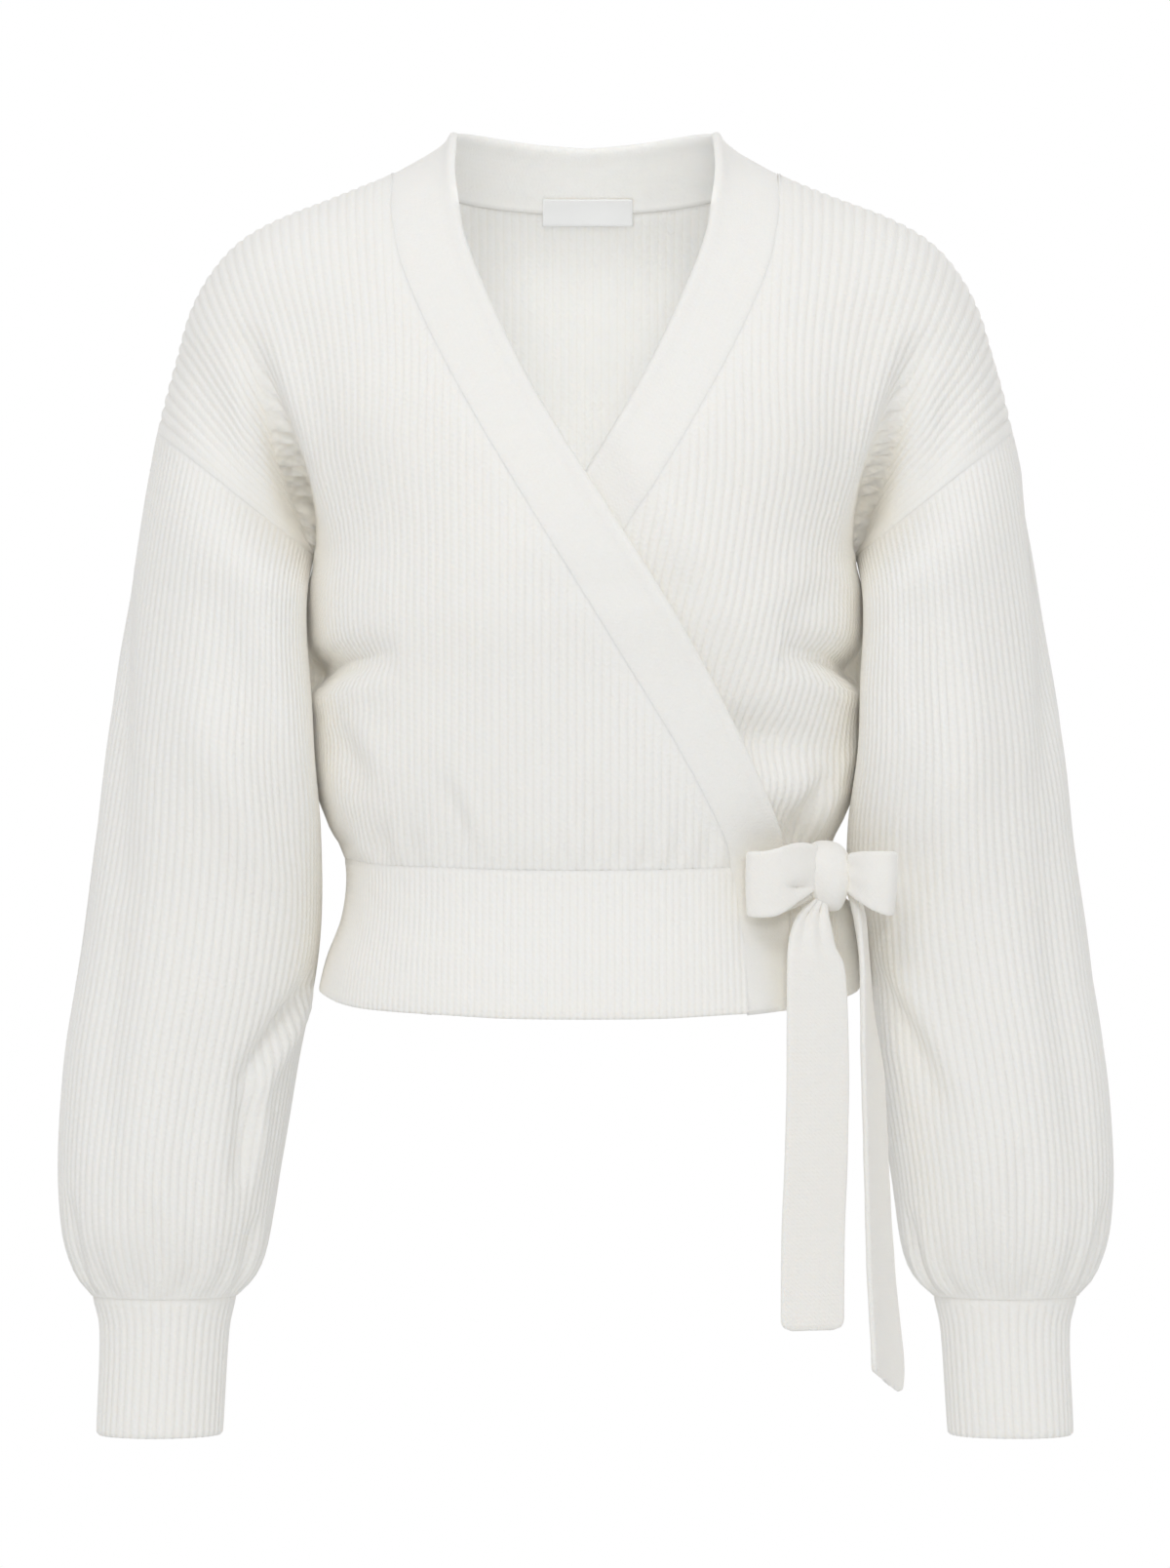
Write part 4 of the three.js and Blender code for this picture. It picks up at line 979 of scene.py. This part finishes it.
def arm_rings(table, at, turn, sideways):
    """Points of an arm tube: at down it, turn around it in degrees from the outer edge."""
    values = {name: read(table, "at", at, name) for name in table if name != "at"}
    cos, sin = np.cos(np.radians(turn)), np.sin(np.radians(turn))
    x = mix(values["inner_x"], values["outer_x"], (1 + cos) / 2)
    z = mix(values["inner_z"], values["outer_z"], (1 + cos) / 2)
    forward = values["forward"] + values["skew"] * (1 - cos) / 2
    return np.stack([sideways * x, MID_Y - forward - values["depth"] * sin, z], axis=-1)


def arm_tube(table, ribs, sideways, spacing):
    """A smooth tube: its turns, the distances down it and on to its end, its points, and which
    way is out at each of them."""
    turn = np.arange(ribs * COLUMNS_A_RIB) * 360 / (ribs * COLUMNS_A_RIB)
    way = np.linspace(0, 1, 161)[:, None]
    length = arc_lengths(arm_rings(table, way + 0 * turn, turn, sideways))
    distance = spaced(length[-1], spacing)
    at = np.stack([np.interp(distance[:, j], length[:, j], way[:, 0])
                   for j in range(len(turn))], axis=1)
    turn = turn + 0 * at
    points = arm_rings(table, at, turn, sideways)
    outward = points - points.mean(axis=1, keepdims=True)
    return turn, distance, length[-1] - distance, points, outward


def tube_uv(ribs, distance):
    columns = distance.shape[1]
    wale = np.arange(columns + 1) * ribs / columns
    down = np.concatenate([distance, distance[:, :1]], axis=1) / COURSE
    return np.stack(np.broadcast_arrays(wale[None, :], down), axis=-1)


def sleeve(side, sideways):
    turn, distance, to_cuff, points, outward = arm_tube(SLEEVE, SLEEVE_RIBS, sideways, 6.8)
    normal = facing(normals_of(points, True), outward)
    z = points[..., 2]
    depth = sum(fold_depth(turn + wrap, z, SLEEVE_FOLDS[side]) for wrap in (-360, 0, 360))
    depth = depth - SLEEVE_UNEVEN * drift(turn, z, 120, len(side))
    gather = smooth(*GATHERED, to_cuff) * GATHER * np.sin(
        np.radians(turn * 17) + 3 * np.sin(np.radians(turn * 2)))
    depth = (depth - gather) * smooth(0, 14, distance) * smooth(0, 9, to_cuff)
    points = points - normal * depth[..., None]
    crowded = mix(0.6, 1, smooth(0, 60, to_cuff))
    ribs = rib(turn / 360 * SLEEVE_RIBS) * crowded
    relief = ribs * smooth(0, 5, distance) * smooth(0, 4, to_cuff)
    return shell(f"{side}_sleeve_knit", points, outward, RIB_WALL, relief, ribs,
                 knit_uv=tube_uv(SLEEVE_RIBS, distance), closed=True)


sleeve("right", -1)
sleeve("left", 1)

# %% [markdown]
# ## Cuffs
# The cuff's ribs are as wide as the sleeve's, but there are only about half as many. It is
# knitted tight, so it stays straight and smooth where the sleeve above it balloons. Its top
# edge laps just inside the sleeve.

# %% Cuffs
CUFF_RIBS = 44
CUFF_UNEVEN = 0.7


def cuff(side, sideways):
    turn, distance, to_end, points, outward = arm_tube(CUFF, CUFF_RIBS, sideways, 5.5)
    normal = facing(normals_of(points, True), outward)
    uneven = CUFF_UNEVEN * drift(turn, points[..., 2] * 0.6, 110, len(side) + 3)
    points = points + normal * uneven[..., None]
    points[0, :, 2] += LAP
    ribs = rib(turn / 360 * CUFF_RIBS)
    return shell(f"{side}_cuff_knit", points, outward, BAND_WALL, ribs * smooth(0, 5, distance),
                 ribs, rounded(to_end, 2.0), tube_uv(CUFF_RIBS, distance), closed=True)


cuff("right", -1)
cuff("left", 1)

# %% [markdown]
# ## Label
# A small blank woven tab, tacked under the back neck seam. It is bare here.

# %% Label
LABEL_MIDDLE_X, LABEL_WIDTH, LABEL_TOP, LABEL_BOTTOM = 1.5, 51, -1.5, -15.5
LABEL_STAND, LABEL_LIFT = RIB_WALL + 0.95, 0.6     # tacked at its top edge, loose at its foot
LABEL_RIPPLE = 0.5


def label():
    z, share = np.meshgrid(np.linspace(LABEL_TOP, LABEL_BOTTOM, 15), np.linspace(-0.5, 0.5, 53),
                           indexing="ij")
    x = LABEL_MIDDLE_X + share * LABEL_WIDTH
    points = face_points("back", x, z)
    points[..., 1] -= LABEL_STAND + LABEL_LIFT * smooth(LABEL_TOP - 3, LABEL_BOTTOM, z)
    ripple = LABEL_RIPPLE * np.sin(share * math.pi * 2.2 + 0.4)
    points[..., 1] -= ripple * smooth(LABEL_TOP, LABEL_BOTTOM, z)
    in_from_edge = np.minimum(z - LABEL_BOTTOM, (0.5 - np.abs(share)) * LABEL_WIDTH)
    knit_uv = np.stack([x, z], axis=-1)
    return shell("neck_label_tab", points, (0, 1, 0), LABEL_WALL, edge=rounded(in_from_edge, 0.4),
                 knit_uv=knit_uv)


label()

# %% [markdown]
# ## Tie and bow
# The tie is a flat tube of plain knit, 36 mm wide, pressed to a strap of two layers. Each strap
# here runs through stations: the middle of the strap, half its width there, and which way its
# width points, as a turn about the vertical and a tilt from level. Cloth simulation can tie a
# bow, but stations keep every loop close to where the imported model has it.

# %% Straps
TIE_HALF = 18
TIE_STEP = 1.7                  # between the rows of a strap
TUCK_ALONG = (44, 34)           # along a loop, a tuck fades out here, before the loop turns back
TIE_RELIEF = TIE_WALL / 2       # the stations run through the middle of the two layers
STRAP_ACROSS = np.array([
    -1, -0.985, -0.95, -0.88, *np.linspace(-0.78, 0.78, 13), 0.88, 0.95, 0.985, 1])
STATION = "x y z half turn tilt"


def strap_points(stations, corner):
    """Rows of points along a strap, half its width at each row, and how far along it that is."""
    table = chart(STATION, *stations)
    table["at"] = np.arange(len(stations), dtype=float)
    at = np.linspace(0, table["at"][-1], (len(stations) - 1) * 40 + 1)
    x, y, z, half, turn, tilt = (read(table, "at", at, name) for name in STATION.split())
    turn, tilt = np.radians(turn), np.radians(tilt)
    width = np.stack([np.cos(tilt) * np.cos(turn), np.cos(tilt) * np.sin(turn), np.sin(tilt)],
                     axis=1)
    middle, half, width = evenly(np.stack([x, y, z], axis=1), half[:, None], width,
                                 spacing=TIE_STEP)
    length = arc_lengths(middle)
    if corner:
        to_end = np.clip(length[-1] - length, 0, corner)[:, None]
        round_end = TIE_HALF - corner + np.sqrt(corner ** 2 - (corner - to_end) ** 2)
        half = np.minimum(half, round_end)
    points = middle[:, None] + (width * half)[:, None] * STRAP_ACROSS[None, :, None]
    return points, half, length


def strap(name, stations, direction, cup=0.0, pleats=(), corner=0.0, tuck=None):
    """A strap through its stations. cup hollows it, pleats run along it, and a corner rounds
    the two corners of its free end. A tuck draws one spot in: its place, reach and depth."""
    points, half, length = strap_points(stations, corner)
    normal = facing(normals_of(points, False), direction)
    share, along = STRAP_ACROSS[None, :], length[:, None]
    lift = cup * share ** 2 + 0.35 * drift(along, share * TIE_HALF, 46, len(name))
    for middle, reach, phase, height in pleats:
        near = np.exp(-((along - middle) / reach) ** 2)
        lift = lift + height * near * np.cos(math.pi * 2.6 * share + phase)
    if tuck:
        x, z, reach_x, reach_z, depth = tuck
        aside, below = (points[..., 0] - x) / reach_x, (points[..., 2] - z) / reach_z
        lift = lift - depth * np.exp(-aside ** 2 - below ** 2) * smooth(*TUCK_ALONG, along)
    points = points + normal * lift[..., None]
    across = (1 - np.abs(share)) * half
    rolled = 0.35 * np.exp(-((across - 2.2) / 1.6) ** 2)
    edge = rounded(across + 0.02, TIE_WALL / 2) * np.ones(points.shape[:2])
    if corner:
        edge = edge * rounded(length[-1] - along, TIE_WALL / 2)
    return shell(name, points, direction, TIE_WALL, TIE_RELIEF + rolled, rolled - TIE_RELIEF,
                 edge, plain_uv(share * half, along))


# %% [markdown]
# ## The stretches of tie, the loops and the tails
# The front tie comes from the band's end and the side tie from the left side seam. Each loop
# leaves the knot, turns back and comes in behind itself. The tails hang free, and the corners
# of their ends are round.

# %% The tie's pieces
strap("front_tie_strap", [
    (118.5, -59, -386, 16, 0, 90), (122, -62, -384.5, 12, 0, 90), (126.5, -65.5, -383, 8, 0, 90)],
    (0, -1, 0))
strap("side_tie_strap", [
    (137, 1, -380, 9, 0, 104), (138.4, -18, -380, 8.6, 0, 102), (139, -38, -380.5, 8.2, 0, 98),
    (139.4, -58, -381, 7.5, 0, 92)], (1, 0, 0), pleats=((55, 22, 0.6, 0.8),))
strap("front_loop_strap", [
    (130, -76, -376, 8, 0, 90), (126, -80, -376.6, 11.5, 0, 91), (121, -86, -377.2, 13.8, 0, 93),
    (115.5, -91.5, -378.6, 15.4, 0, 94), (109, -96, -381.7, 17, 0, 93),
    (103, -98.5, -384.3, 18, 0, 91), (95, -98.5, -385.5, 17.8, 0, 90),
    (89, -96, -385.5, 17.5, 0, 90), (87.5, -91.5, -385.5, 17.5, 0, 90),
    (91, -87, -385.3, 17.5, 0, 90), (103, -83.5, -385, 17, 0, 90), (115, -80, -383, 14.6, 0, 90),
    (122, -76.5, -382.5, 11.5, 0, 90), (128, -73.5, -384, 8, 0, 90)],
    (0, -1, 0), cup=-1.2, pleats=((13, 9, -0.3, 0.35), (92, 16, 1.2, 0.7)),
    tuck=(115.5, -386.8, 7, 2.2, 3.8))
strap("side_loop_strap", [
    (142.5, -80, -380, 11, 0, 90), (147.5, -87, -381.5, 13.5, 0, 89),
    (154.5, -92.5, -383.5, 15.8, 0, 88), (163, -93, -385, 17.2, 0, 87),
    (167, -87.5, -385.3, 17.2, 0, 87), (163.5, -80.5, -385, 16.7, 0, 89),
    (156, -75, -384, 13, 0, 90), (148.5, -71, -383, 8, 0, 90)],
    (0, -1, 0), cup=-1.4, pleats=((4, 9, 0.3, 0.5), (56, 10, 0.8, 0.5)))
strap("front_tail_strap", [
    (127.5, -79, -394, 3, 10, 0), (123.5, -83, -401.4, 8.2, 16, 0),
    (122.3, -86.5, -409.8, 11.6, 19, 0), (122.5, -89, -420, 14, 20, 0),
    (124.8, -90.5, -434.4, 16.9, 20, 0), (125.7, -90.5, -487, 18, 19, 0),
    (124.9, -90, -529, 18, 18, 0), (123.2, -89, -575, 18, 17, 0), (122.8, -88.5, -626, 18, 17, 0)],
    (0, -1, 0), cup=-1.1, pleats=((8, 22, 0.2, 1.1),), corner=6)
strap("side_tail_strap", [
    (144, -70, -388, 4, 72, 0), (147.3, -68, -399, 8, 76, 0), (149.5, -64.5, -412, 13, 80, 0),
    (151, -62.5, -432, 17, 82, 0), (152.8, -60.5, -460, 18, 78, 0), (155.4, -59.5, -492, 18, 70, 0),
    (158, -59, -555, 18, 68, 0), (160.5, -59.5, -605, 18, 64, -4), (163.5, -60, -640, 18, 59, -12),
    (163.5, -61, -657, 18, 58, -26)],
    (1, -0.4, 0), cup=1.2, pleats=((12, 20, 0.9, 1.0),), corner=5)

# %% [markdown]
# ## Knot
# The knot is one turn of the strap, pulled tight round the others: a squat barrel whose axis
# lies level, along which the loops leave it. Soft pleats run round it, and it sags at the foot.

# %% Knot
KNOT_MIDDLE = np.array([131.4, -73, -381.3])
KNOT_HALF = np.array([13.6, 13.5, 19.2])
KNOT_ROWS, KNOT_COLUMNS = 44, 96


def knot():
    """Rings of points round the barrel, and the numbers of its stitches."""
    rows, columns = KNOT_ROWS, KNOT_COLUMNS
    lie = np.linspace(-1, 1, rows)[:, None]
    lie = np.sign(lie) * (1 - (1 - np.abs(lie)) ** 1.5)
    turn = np.radians(np.arange(columns) * 360 / columns)[None, :]
    girth = np.sqrt(np.clip(1 - np.abs(lie) ** 2.6, 0, 1)) + 0 * turn
    low = np.maximum(-np.sin(turn), 0)
    front = np.maximum(np.cos(turn), 0)
    pleat = (0.45 * np.cos(lie * 5.5 + 1.8 * np.sin(turn))
             + 0.12 * np.cos(lie * 13 - np.sin(turn * 2))) * (0.35 + 0.65 * front)
    pleat = pleat * (1 - np.abs(lie) ** 4)
    x = KNOT_HALF[0] * (lie * (1 - 0.2 * low ** 2) - 0.14 * np.sin(turn) * (1 - lie ** 2))
    y = -(KNOT_HALF[1] * girth + 0.8 * pleat) * np.cos(turn)
    z = (KNOT_HALF[2] * girth ** 0.9 + 0.5 * pleat) * np.sin(turn)
    points = KNOT_MIDDLE + np.stack([x + 0 * turn, y, z], axis=-1)
    knit_uv = np.stack(np.broadcast_arrays(
        lie * 4.5, np.arange(columns + 1)[None, :] / columns * 40), axis=-1)
    return points, knit_uv


def closed_form(name, points, knit_uv):
    """A closed body from rings of points: the first and last ring shrink to one point each."""
    rows, columns = points.shape[:2]
    i, j = (a.ravel() for a in np.mgrid[1:rows - 2, 0:columns])
    index = lambda i, j: 1 + (i - 1) * columns + j % columns
    faces = np.stack([index(i, j), index(i, j + 1), index(i + 1, j + 1), index(i + 1, j)], axis=1)
    texture = np.stack([knit_uv[i, j], knit_uv[i, j + 1], knit_uv[i + 1, j + 1], knit_uv[i + 1, j]],
                       axis=1)
    last = 1 + (rows - 2) * columns
    j = np.arange(columns)
    caps = ([[0, index(1, k + 1), index(1, k)] for k in j]
            + [[last, index(rows - 2, k), index(rows - 2, k + 1)] for k in j])
    cap_uv = ([[knit_uv[0, k], knit_uv[1, k + 1], knit_uv[1, k]] for k in j]
              + [[knit_uv[rows - 1, k], knit_uv[rows - 2, k], knit_uv[rows - 2, k + 1]] for k in j])
    body = points[1:-1].reshape(-1, 3)
    vertices = np.concatenate([points[0, :1], body, points[-1, :1]]) * MM
    texture = np.concatenate([texture.reshape(-1, 2), np.array(cap_uv).reshape(-1, 2)])
    faces_and_caps = faces.tolist() + [[int(v) for v in cap] for cap in caps]
    piece = knitted_object(name, vertices, faces_and_caps, texture)
    edit = bmesh.new()
    edit.from_mesh(piece.data)
    bmesh.ops.recalc_face_normals(edit, faces=edit.faces)
    edit.to_mesh(piece.data)
    edit.free()
    made[name] = piece
    print(f"{name}: {2 * len(faces) + len(caps)} triangles")
    return piece


closed_form("tie_knot_wrap", *knot())

# %% [markdown]
# ## Knit finishes
# Brushed knit scatters light: rough, pale, with a soft sheen from its standing fibres. The
# ribs are real shape, and the stitches on them are a bump read from the wale and course number
# that every point carries. All fixed numbers stand on the shader's own sockets.

# %% Finish helpers
TINTS = {
    "rib_knit": ((0.885, 0.882, 0.866), (0.86, 0.848, 0.815)),
    "waist_rib": ((0.885, 0.882, 0.866), (0.86, 0.848, 0.815)),
    "band_knit": ((0.88, 0.877, 0.86), (0.857, 0.846, 0.815)),
    # Painted shade: the tie's tints are a little darker than the band's, to darken the hanging
    # tails.
    "tie_knit": ((0.865, 0.858, 0.838), (0.842, 0.827, 0.792)),
    "label_weave": ((0.95, 0.95, 0.945), (0.92, 0.92, 0.915)),
}
# Painted light: shut-in creases are coloured lighter and warmer than the cloth, in place of the
# warm light that fills them.
PAINTED_CREASE_WARMTH = (1.0, 0.965, 0.885)
# Painted shadow: the dark tint of the line along linked seams, partly the joint's darker thread.
SEAM_LINE_AND_SHADOW_TINT = (0.42, 0.40, 0.36)
CREASE_WARMTH_REACH = 0.06                # metres: walls nearer than this make a crease for the painted warm light
CREASE_WARMTH_OPEN, CREASE_WARMTH_GAIN = 0.66, 2.2  # the openness below which the painted warm light begins, and how fast it grows
THROUGH_REACH = 0.002           # metres that light wanders inside the knit


class Finish:
    """A small maker of node materials: each method adds a node and gives back its output."""

    def __init__(self, name):
        self.material = bpy.data.materials.new(name)
        self.material.use_nodes = True
        self.tree = self.material.node_tree
        self.shader = self.tree.nodes["Principled BSDF"]

    def node(self, kind, **values):
        node = self.tree.nodes.new(kind)
        for key, value in values.items():
            setattr(node, key, value)
        return node

    def plug(self, socket, value):
        if isinstance(value, bpy.types.NodeSocket):
            self.tree.links.new(value, socket)
        else:
            socket.default_value = value

    def math(self, operation, first, second=0.0, clamp=False):
        node = self.node("ShaderNodeMath", operation=operation, use_clamp=clamp)
        self.plug(node.inputs[0], first)
        self.plug(node.inputs[1], second)
        return node.outputs[0]

    def noise(self, vector, scale, detail, roughness):
        node = self.node("ShaderNodeTexNoise")
        self.plug(node.inputs["Vector"], vector)
        node.inputs["Scale"].default_value = scale
        node.inputs["Detail"].default_value = detail
        node.inputs["Roughness"].default_value = roughness
        return node.outputs["Fac"]

    def blend(self, factor, first, second):
        node = self.node("ShaderNodeMix", data_type="RGBA")
        self.plug(node.inputs["Factor"], factor)
        self.plug(node.inputs["A"], (*first, 1) if isinstance(first, tuple) else first)
        self.plug(node.inputs["B"], (*second, 1) if isinstance(second, tuple) else second)
        return node.outputs["Result"]

    def stitches(self):
        uv = self.node("ShaderNodeUVMap", uv_map="knit")
        split = self.node("ShaderNodeSeparateXYZ")
        self.plug(split.inputs[0], uv.outputs["UV"])
        return split.outputs["X"], split.outputs["Y"]

    def place(self):
        return self.node("ShaderNodeTexCoord").outputs["Object"]

    def bump(self, height, strength, distance):
        node = self.node("ShaderNodeBump")
        node.inputs["Strength"].default_value = strength
        node.inputs["Distance"].default_value = distance
        self.plug(node.inputs["Height"], height)
        self.plug(self.shader.inputs["Normal"], node.outputs["Normal"])

    def painted_crease_warmth(self):
        """0 on open cloth, 1 far into a crease: the mask of painted warm light, which colours
        shut-in places lighter and warmer, as warm bounced light would.
        """
        node = self.node("ShaderNodeAmbientOcclusion", samples=6)
        node.inputs["Distance"].default_value = CREASE_WARMTH_REACH
        shut = self.math("SUBTRACT", CREASE_WARMTH_OPEN, node.outputs["AO"])
        return self.math("MULTIPLY", shut, CREASE_WARMTH_GAIN, clamp=True)

    def surface(self, colour, roughness, sheen):
        self.plug(self.shader.inputs["Base Color"], colour)
        self.shader.inputs["Roughness"].default_value = roughness
        self.shader.inputs["Specular IOR Level"].default_value = 0.2
        self.shader.inputs["Sheen Weight"].default_value = sheen
        self.shader.inputs["Sheen Roughness"].default_value = 0.45
        self.shader.inputs["Sheen Tint"].default_value = (1, 0.985, 0.95, 1)

    def through(self, share):
        """Lets light wander through the cloth for a few millimetres, warm light furthest."""
        self.shader.inputs["Subsurface Weight"].default_value = share
        self.shader.inputs["Subsurface Radius"].default_value = (1.0, 0.9, 0.78)
        self.shader.inputs["Subsurface Scale"].default_value = THROUGH_REACH


print("tints:", ", ".join(TINTS))

# %% [markdown]
# ## The finishes themselves
# A knitted stitch is a small V, so its bump is a wave down the wale that slants away from the
# crest. Fibres and tufts roughen it, slow patches keep the colour alive, and the ditch between
# two ribs is given painted shade, a darker and warmer tint. The label is a plain weave: one
# wave across and one down.

# %% Finishes
# Each is the scale, detail and roughness of a noise.
FIBRES, TUFTS, PATCHES = (650.0, 5.0, 0.75), (160.0, 3.0, 0.6), (9.0, 2.0, 0.5)
STITCH_SLANT = 0.55
WEFT, WARP = 0.45, 0.6          # thread spacing of the label, in millimetres


def knit_finish(slot, stitch, fuzz, ditch):
    pale, warm = TINTS[slot]
    finish = Finish(slot + "_finish")
    wale, course = finish.stitches()
    place = finish.place()
    across = finish.math("FRACT", wale)
    from_crest = finish.math("ABSOLUTE", finish.math(
        "SUBTRACT", finish.math("MULTIPLY", across, 2.0), 1.0))
    slant = finish.math("MULTIPLY", from_crest, STITCH_SLANT)
    wave = finish.math("SINE", finish.math(
        "MULTIPLY", finish.math("ADD", course, slant), 2 * math.pi))
    fibres = finish.noise(place, *FIBRES)
    tufts = finish.noise(place, *TUFTS)
    height = finish.math("ADD", finish.math("MULTIPLY", wave, stitch),
                         finish.math("ADD", finish.math("MULTIPLY", fibres, fuzz),
                                     finish.math("MULTIPLY", tufts, fuzz)))
    finish.bump(height, 0.7, 0.0009)
    patches = finish.noise(place, *PATCHES)
    mottled = finish.math("ADD", finish.math("MULTIPLY", patches, 0.5),
                          finish.math("MULTIPLY", fibres, 0.4))
    # Painted shade: the ditches between the ribs are tinted darker and warmer, where shade falls.
    deep = finish.math("MULTIPLY", finish.math("POWER", from_crest, 5.0), ditch)
    colour = finish.blend(finish.math("ADD", mottled, deep), pale, warm)
    # Painted light: creases turn lighter and warmer.
    colour = finish.blend(finish.painted_crease_warmth(), colour, PAINTED_CREASE_WARMTH)
    # Painted shadow: a dark line along linked seams, partly the joint's own darker thread.
    near_seam_line = finish.node("ShaderNodeAttribute", attribute_name="seam_line_and_shadow").outputs["Fac"]
    finish.surface(finish.blend(near_seam_line, colour, SEAM_LINE_AND_SHADOW_TINT), 0.95, 0.6)
    finish.through(0.35)
    return finish.material


def label_finish(slot):
    pale, warm = TINTS[slot]
    finish = Finish(slot + "_finish")
    over, up = finish.stitches()
    weft = finish.math("SINE", finish.math("MULTIPLY", up, 2 * math.pi / WEFT))
    warp = finish.math("SINE", finish.math("MULTIPLY", over, 2 * math.pi / WARP))
    weave = finish.math("MULTIPLY", weft, warp)
    finish.bump(weave, 0.35, 0.0002)
    shade = finish.math("ADD", finish.math("MULTIPLY", weave, 0.2), 0.3)
    finish.surface(finish.blend(shade, pale, warm), 0.6, 0.1)
    return finish.material


KNITS = {                       # height of the stitches, height of the fuzz, strength of the painted shade in the ditches
    "rib_knit": (0.07, 0.4, 0.75),
    "waist_rib": (0.06, 0.4, 0.75),
    "band_knit": (0.06, 0.4, 0.05),
    "tie_knit": (0.06, 0.4, 0.05),
}
FINISHES = {slot: knit_finish(slot, *values) for slot, values in KNITS.items()}
FINISHES["label_weave"] = label_finish("label_weave")
print("finishes:", ", ".join(FINISHES))

# %% [markdown]
# ## Every piece and what it stands for
# Each knitted piece replaces the plain form of one node, rides on the garment's one body, and
# takes its finish from a slot of the record.

# %% Pieces
PIECES = {
    "back_panel": ("back", "rib_knit"),
    "right_front_panel": ("right_front", "rib_knit"),
    "left_front_panel": ("left_front", "rib_knit"),
    "back_waistband_knit": ("back_waistband", "waist_rib"),
    "right_front_waistband_knit": ("right_front_waistband", "waist_rib"),
    "left_front_waistband_knit": ("left_front_waistband", "waist_rib"),
    "long_band_knit": ("right_front_and_neck_band", "band_knit"),
    "left_front_band_knit": ("left_front_band", "band_knit"),
    "right_sleeve_knit": ("right_sleeve", "rib_knit"),
    "left_sleeve_knit": ("left_sleeve", "rib_knit"),
    "right_cuff_knit": ("right_cuff", "waist_rib"),
    "left_cuff_knit": ("left_cuff", "waist_rib"),
    "neck_label_tab": ("neck_label", "label_weave"),
    "tie_knot_wrap": ("tie_knot", "tie_knit"),
    "front_tie_strap": ("front_tie", "tie_knit"),
    "side_tie_strap": ("side_tie", "tie_knit"),
    "front_loop_strap": ("front_loop", "tie_knit"),
    "side_loop_strap": ("side_loop", "tie_knit"),
    "front_tail_strap": ("front_tail", "tie_knit"),
    "side_tail_strap": ("side_tail", "tie_knit"),
}
for name, (node, slot) in PIECES.items():
    piece = made[name]
    piece.data.materials.append(FINISHES[slot])
    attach(piece, "root")
    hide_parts(node)
print("pieces on the garment's one body:", len(PIECES))

# %% [markdown]
# ## The flat pieces
# Before it was linked up, every piece was a flat sheet off the knitting machine.

# %% [markdown]
# ## Floor
# A pale floor lies well below the hem, as the garment is held up by its wearer. One wide disc
# is enough, because nothing stands on it.

# %% Floor
FLOOR_Z, FLOOR_RADIUS = -1300, 3600

floor_mesh = bpy.data.meshes.new("studio_floor")
ring = [(FLOOR_RADIUS * MM * math.cos(a), FLOOR_RADIUS * MM * math.sin(a), FLOOR_Z * MM)
        for a in np.linspace(0, 2 * math.pi, 97)[:-1]]
floor_mesh.from_pydata(ring, [], [list(range(len(ring)))])
floor = add_object("studio_floor", floor_mesh)
floor_finish = Finish("floor_finish")
floor_finish.surface((0.86, 0.86, 0.85, 1), 0.9, 0.0)
floor.data.materials.append(floor_finish.material)
print("floor below the hem:", round(HEM_Z - FLOOR_Z), "mm")

# %% [markdown]
# ## Sky
# The sky is a colourless dome that differs only in brightness: full white behind the garment,
# a little over half as bright all round, and brighter again towards the top. So light comes
# from every side, and the ditches between the ribs stay soft.

# %% Sky
dome = bpy.data.worlds.new("white_dome")
bpy.context.scene.world = dome
dome.use_nodes = True
sky = dome.node_tree.nodes


def sky_step(source, start, end, low, high):
    node = sky.new("ShaderNodeMapRange")
    node.interpolation_type = "SMOOTHSTEP"
    dome.node_tree.links.new(source, node.inputs["Value"])
    for name, value in zip(("From Min", "From Max", "To Min", "To Max"), (start, end, low, high)):
        node.inputs[name].default_value = value
    return node.outputs["Result"]


way = sky.new("ShaderNodeSeparateXYZ")
dome.node_tree.links.new(sky.new("ShaderNodeTexCoord").outputs["Generated"], way.inputs[0])
brightest = sky.new("ShaderNodeMath")
brightest.operation = "MAXIMUM"
behind = sky_step(way.outputs["Y"], 0.7, 0.9, 0, 1.0)
overhead = sky_step(way.outputs["Z"], 0.1, 0.9, 0.575, 0.85)
dome.node_tree.links.new(behind, brightest.inputs[0])
dome.node_tree.links.new(overhead, brightest.inputs[1])
dome.node_tree.links.new(brightest.outputs[0], sky["Background"].inputs["Strength"])
sky["Background"].inputs["Color"].default_value = (1, 1, 1, 1)
bpy.context.scene.view_settings.view_transform = "Standard"
print("steps in the sky's brightness:", sum(node.type == "MAP_RANGE" for node in sky))

# %% [markdown]
# ## Lamps
# Two soft lamps stand in front, one high and to the side and one nearly level, so each rib and
# fold has a bright and a shaded side. A third, small and faint, hangs inside the garment. It
# stands for the light that white knit passes on to the inside of the back.

# %% Lamps
def soft_lamp(name, place, aim, size, power):
    data = bpy.data.lights.new(name, "AREA")
    data.shape = "DISK"
    data.size = size
    data.energy = power
    lamp = add_object(name, data)
    lamp.location = place
    lamp.rotation_euler = (Vector(aim) - Vector(place)).to_track_quat("-Z", "Y").to_euler()
    return lamp


MIDDLE = (0, 0, -0.35)
soft_lamp("key_lamp", (-0.6, -2.7, 1.9), MIDDLE, 1.2, 19)
soft_lamp("front_lamp", (0.3, -3.3, 0.4), MIDDLE, 0.6, 16)

INNER_WIDTH, INNER_HEIGHT = 0.13, 0.24
inner = soft_lamp("inner_lamp", (0, -0.045, -0.125), (0, 1, -0.08), INNER_WIDTH, 0.103)
inner.data.shape = "RECTANGLE"
inner.data.size_y = INNER_HEIGHT
inner.data.color = (0.95, 0.975, 1.0)
inner.visible_camera = False
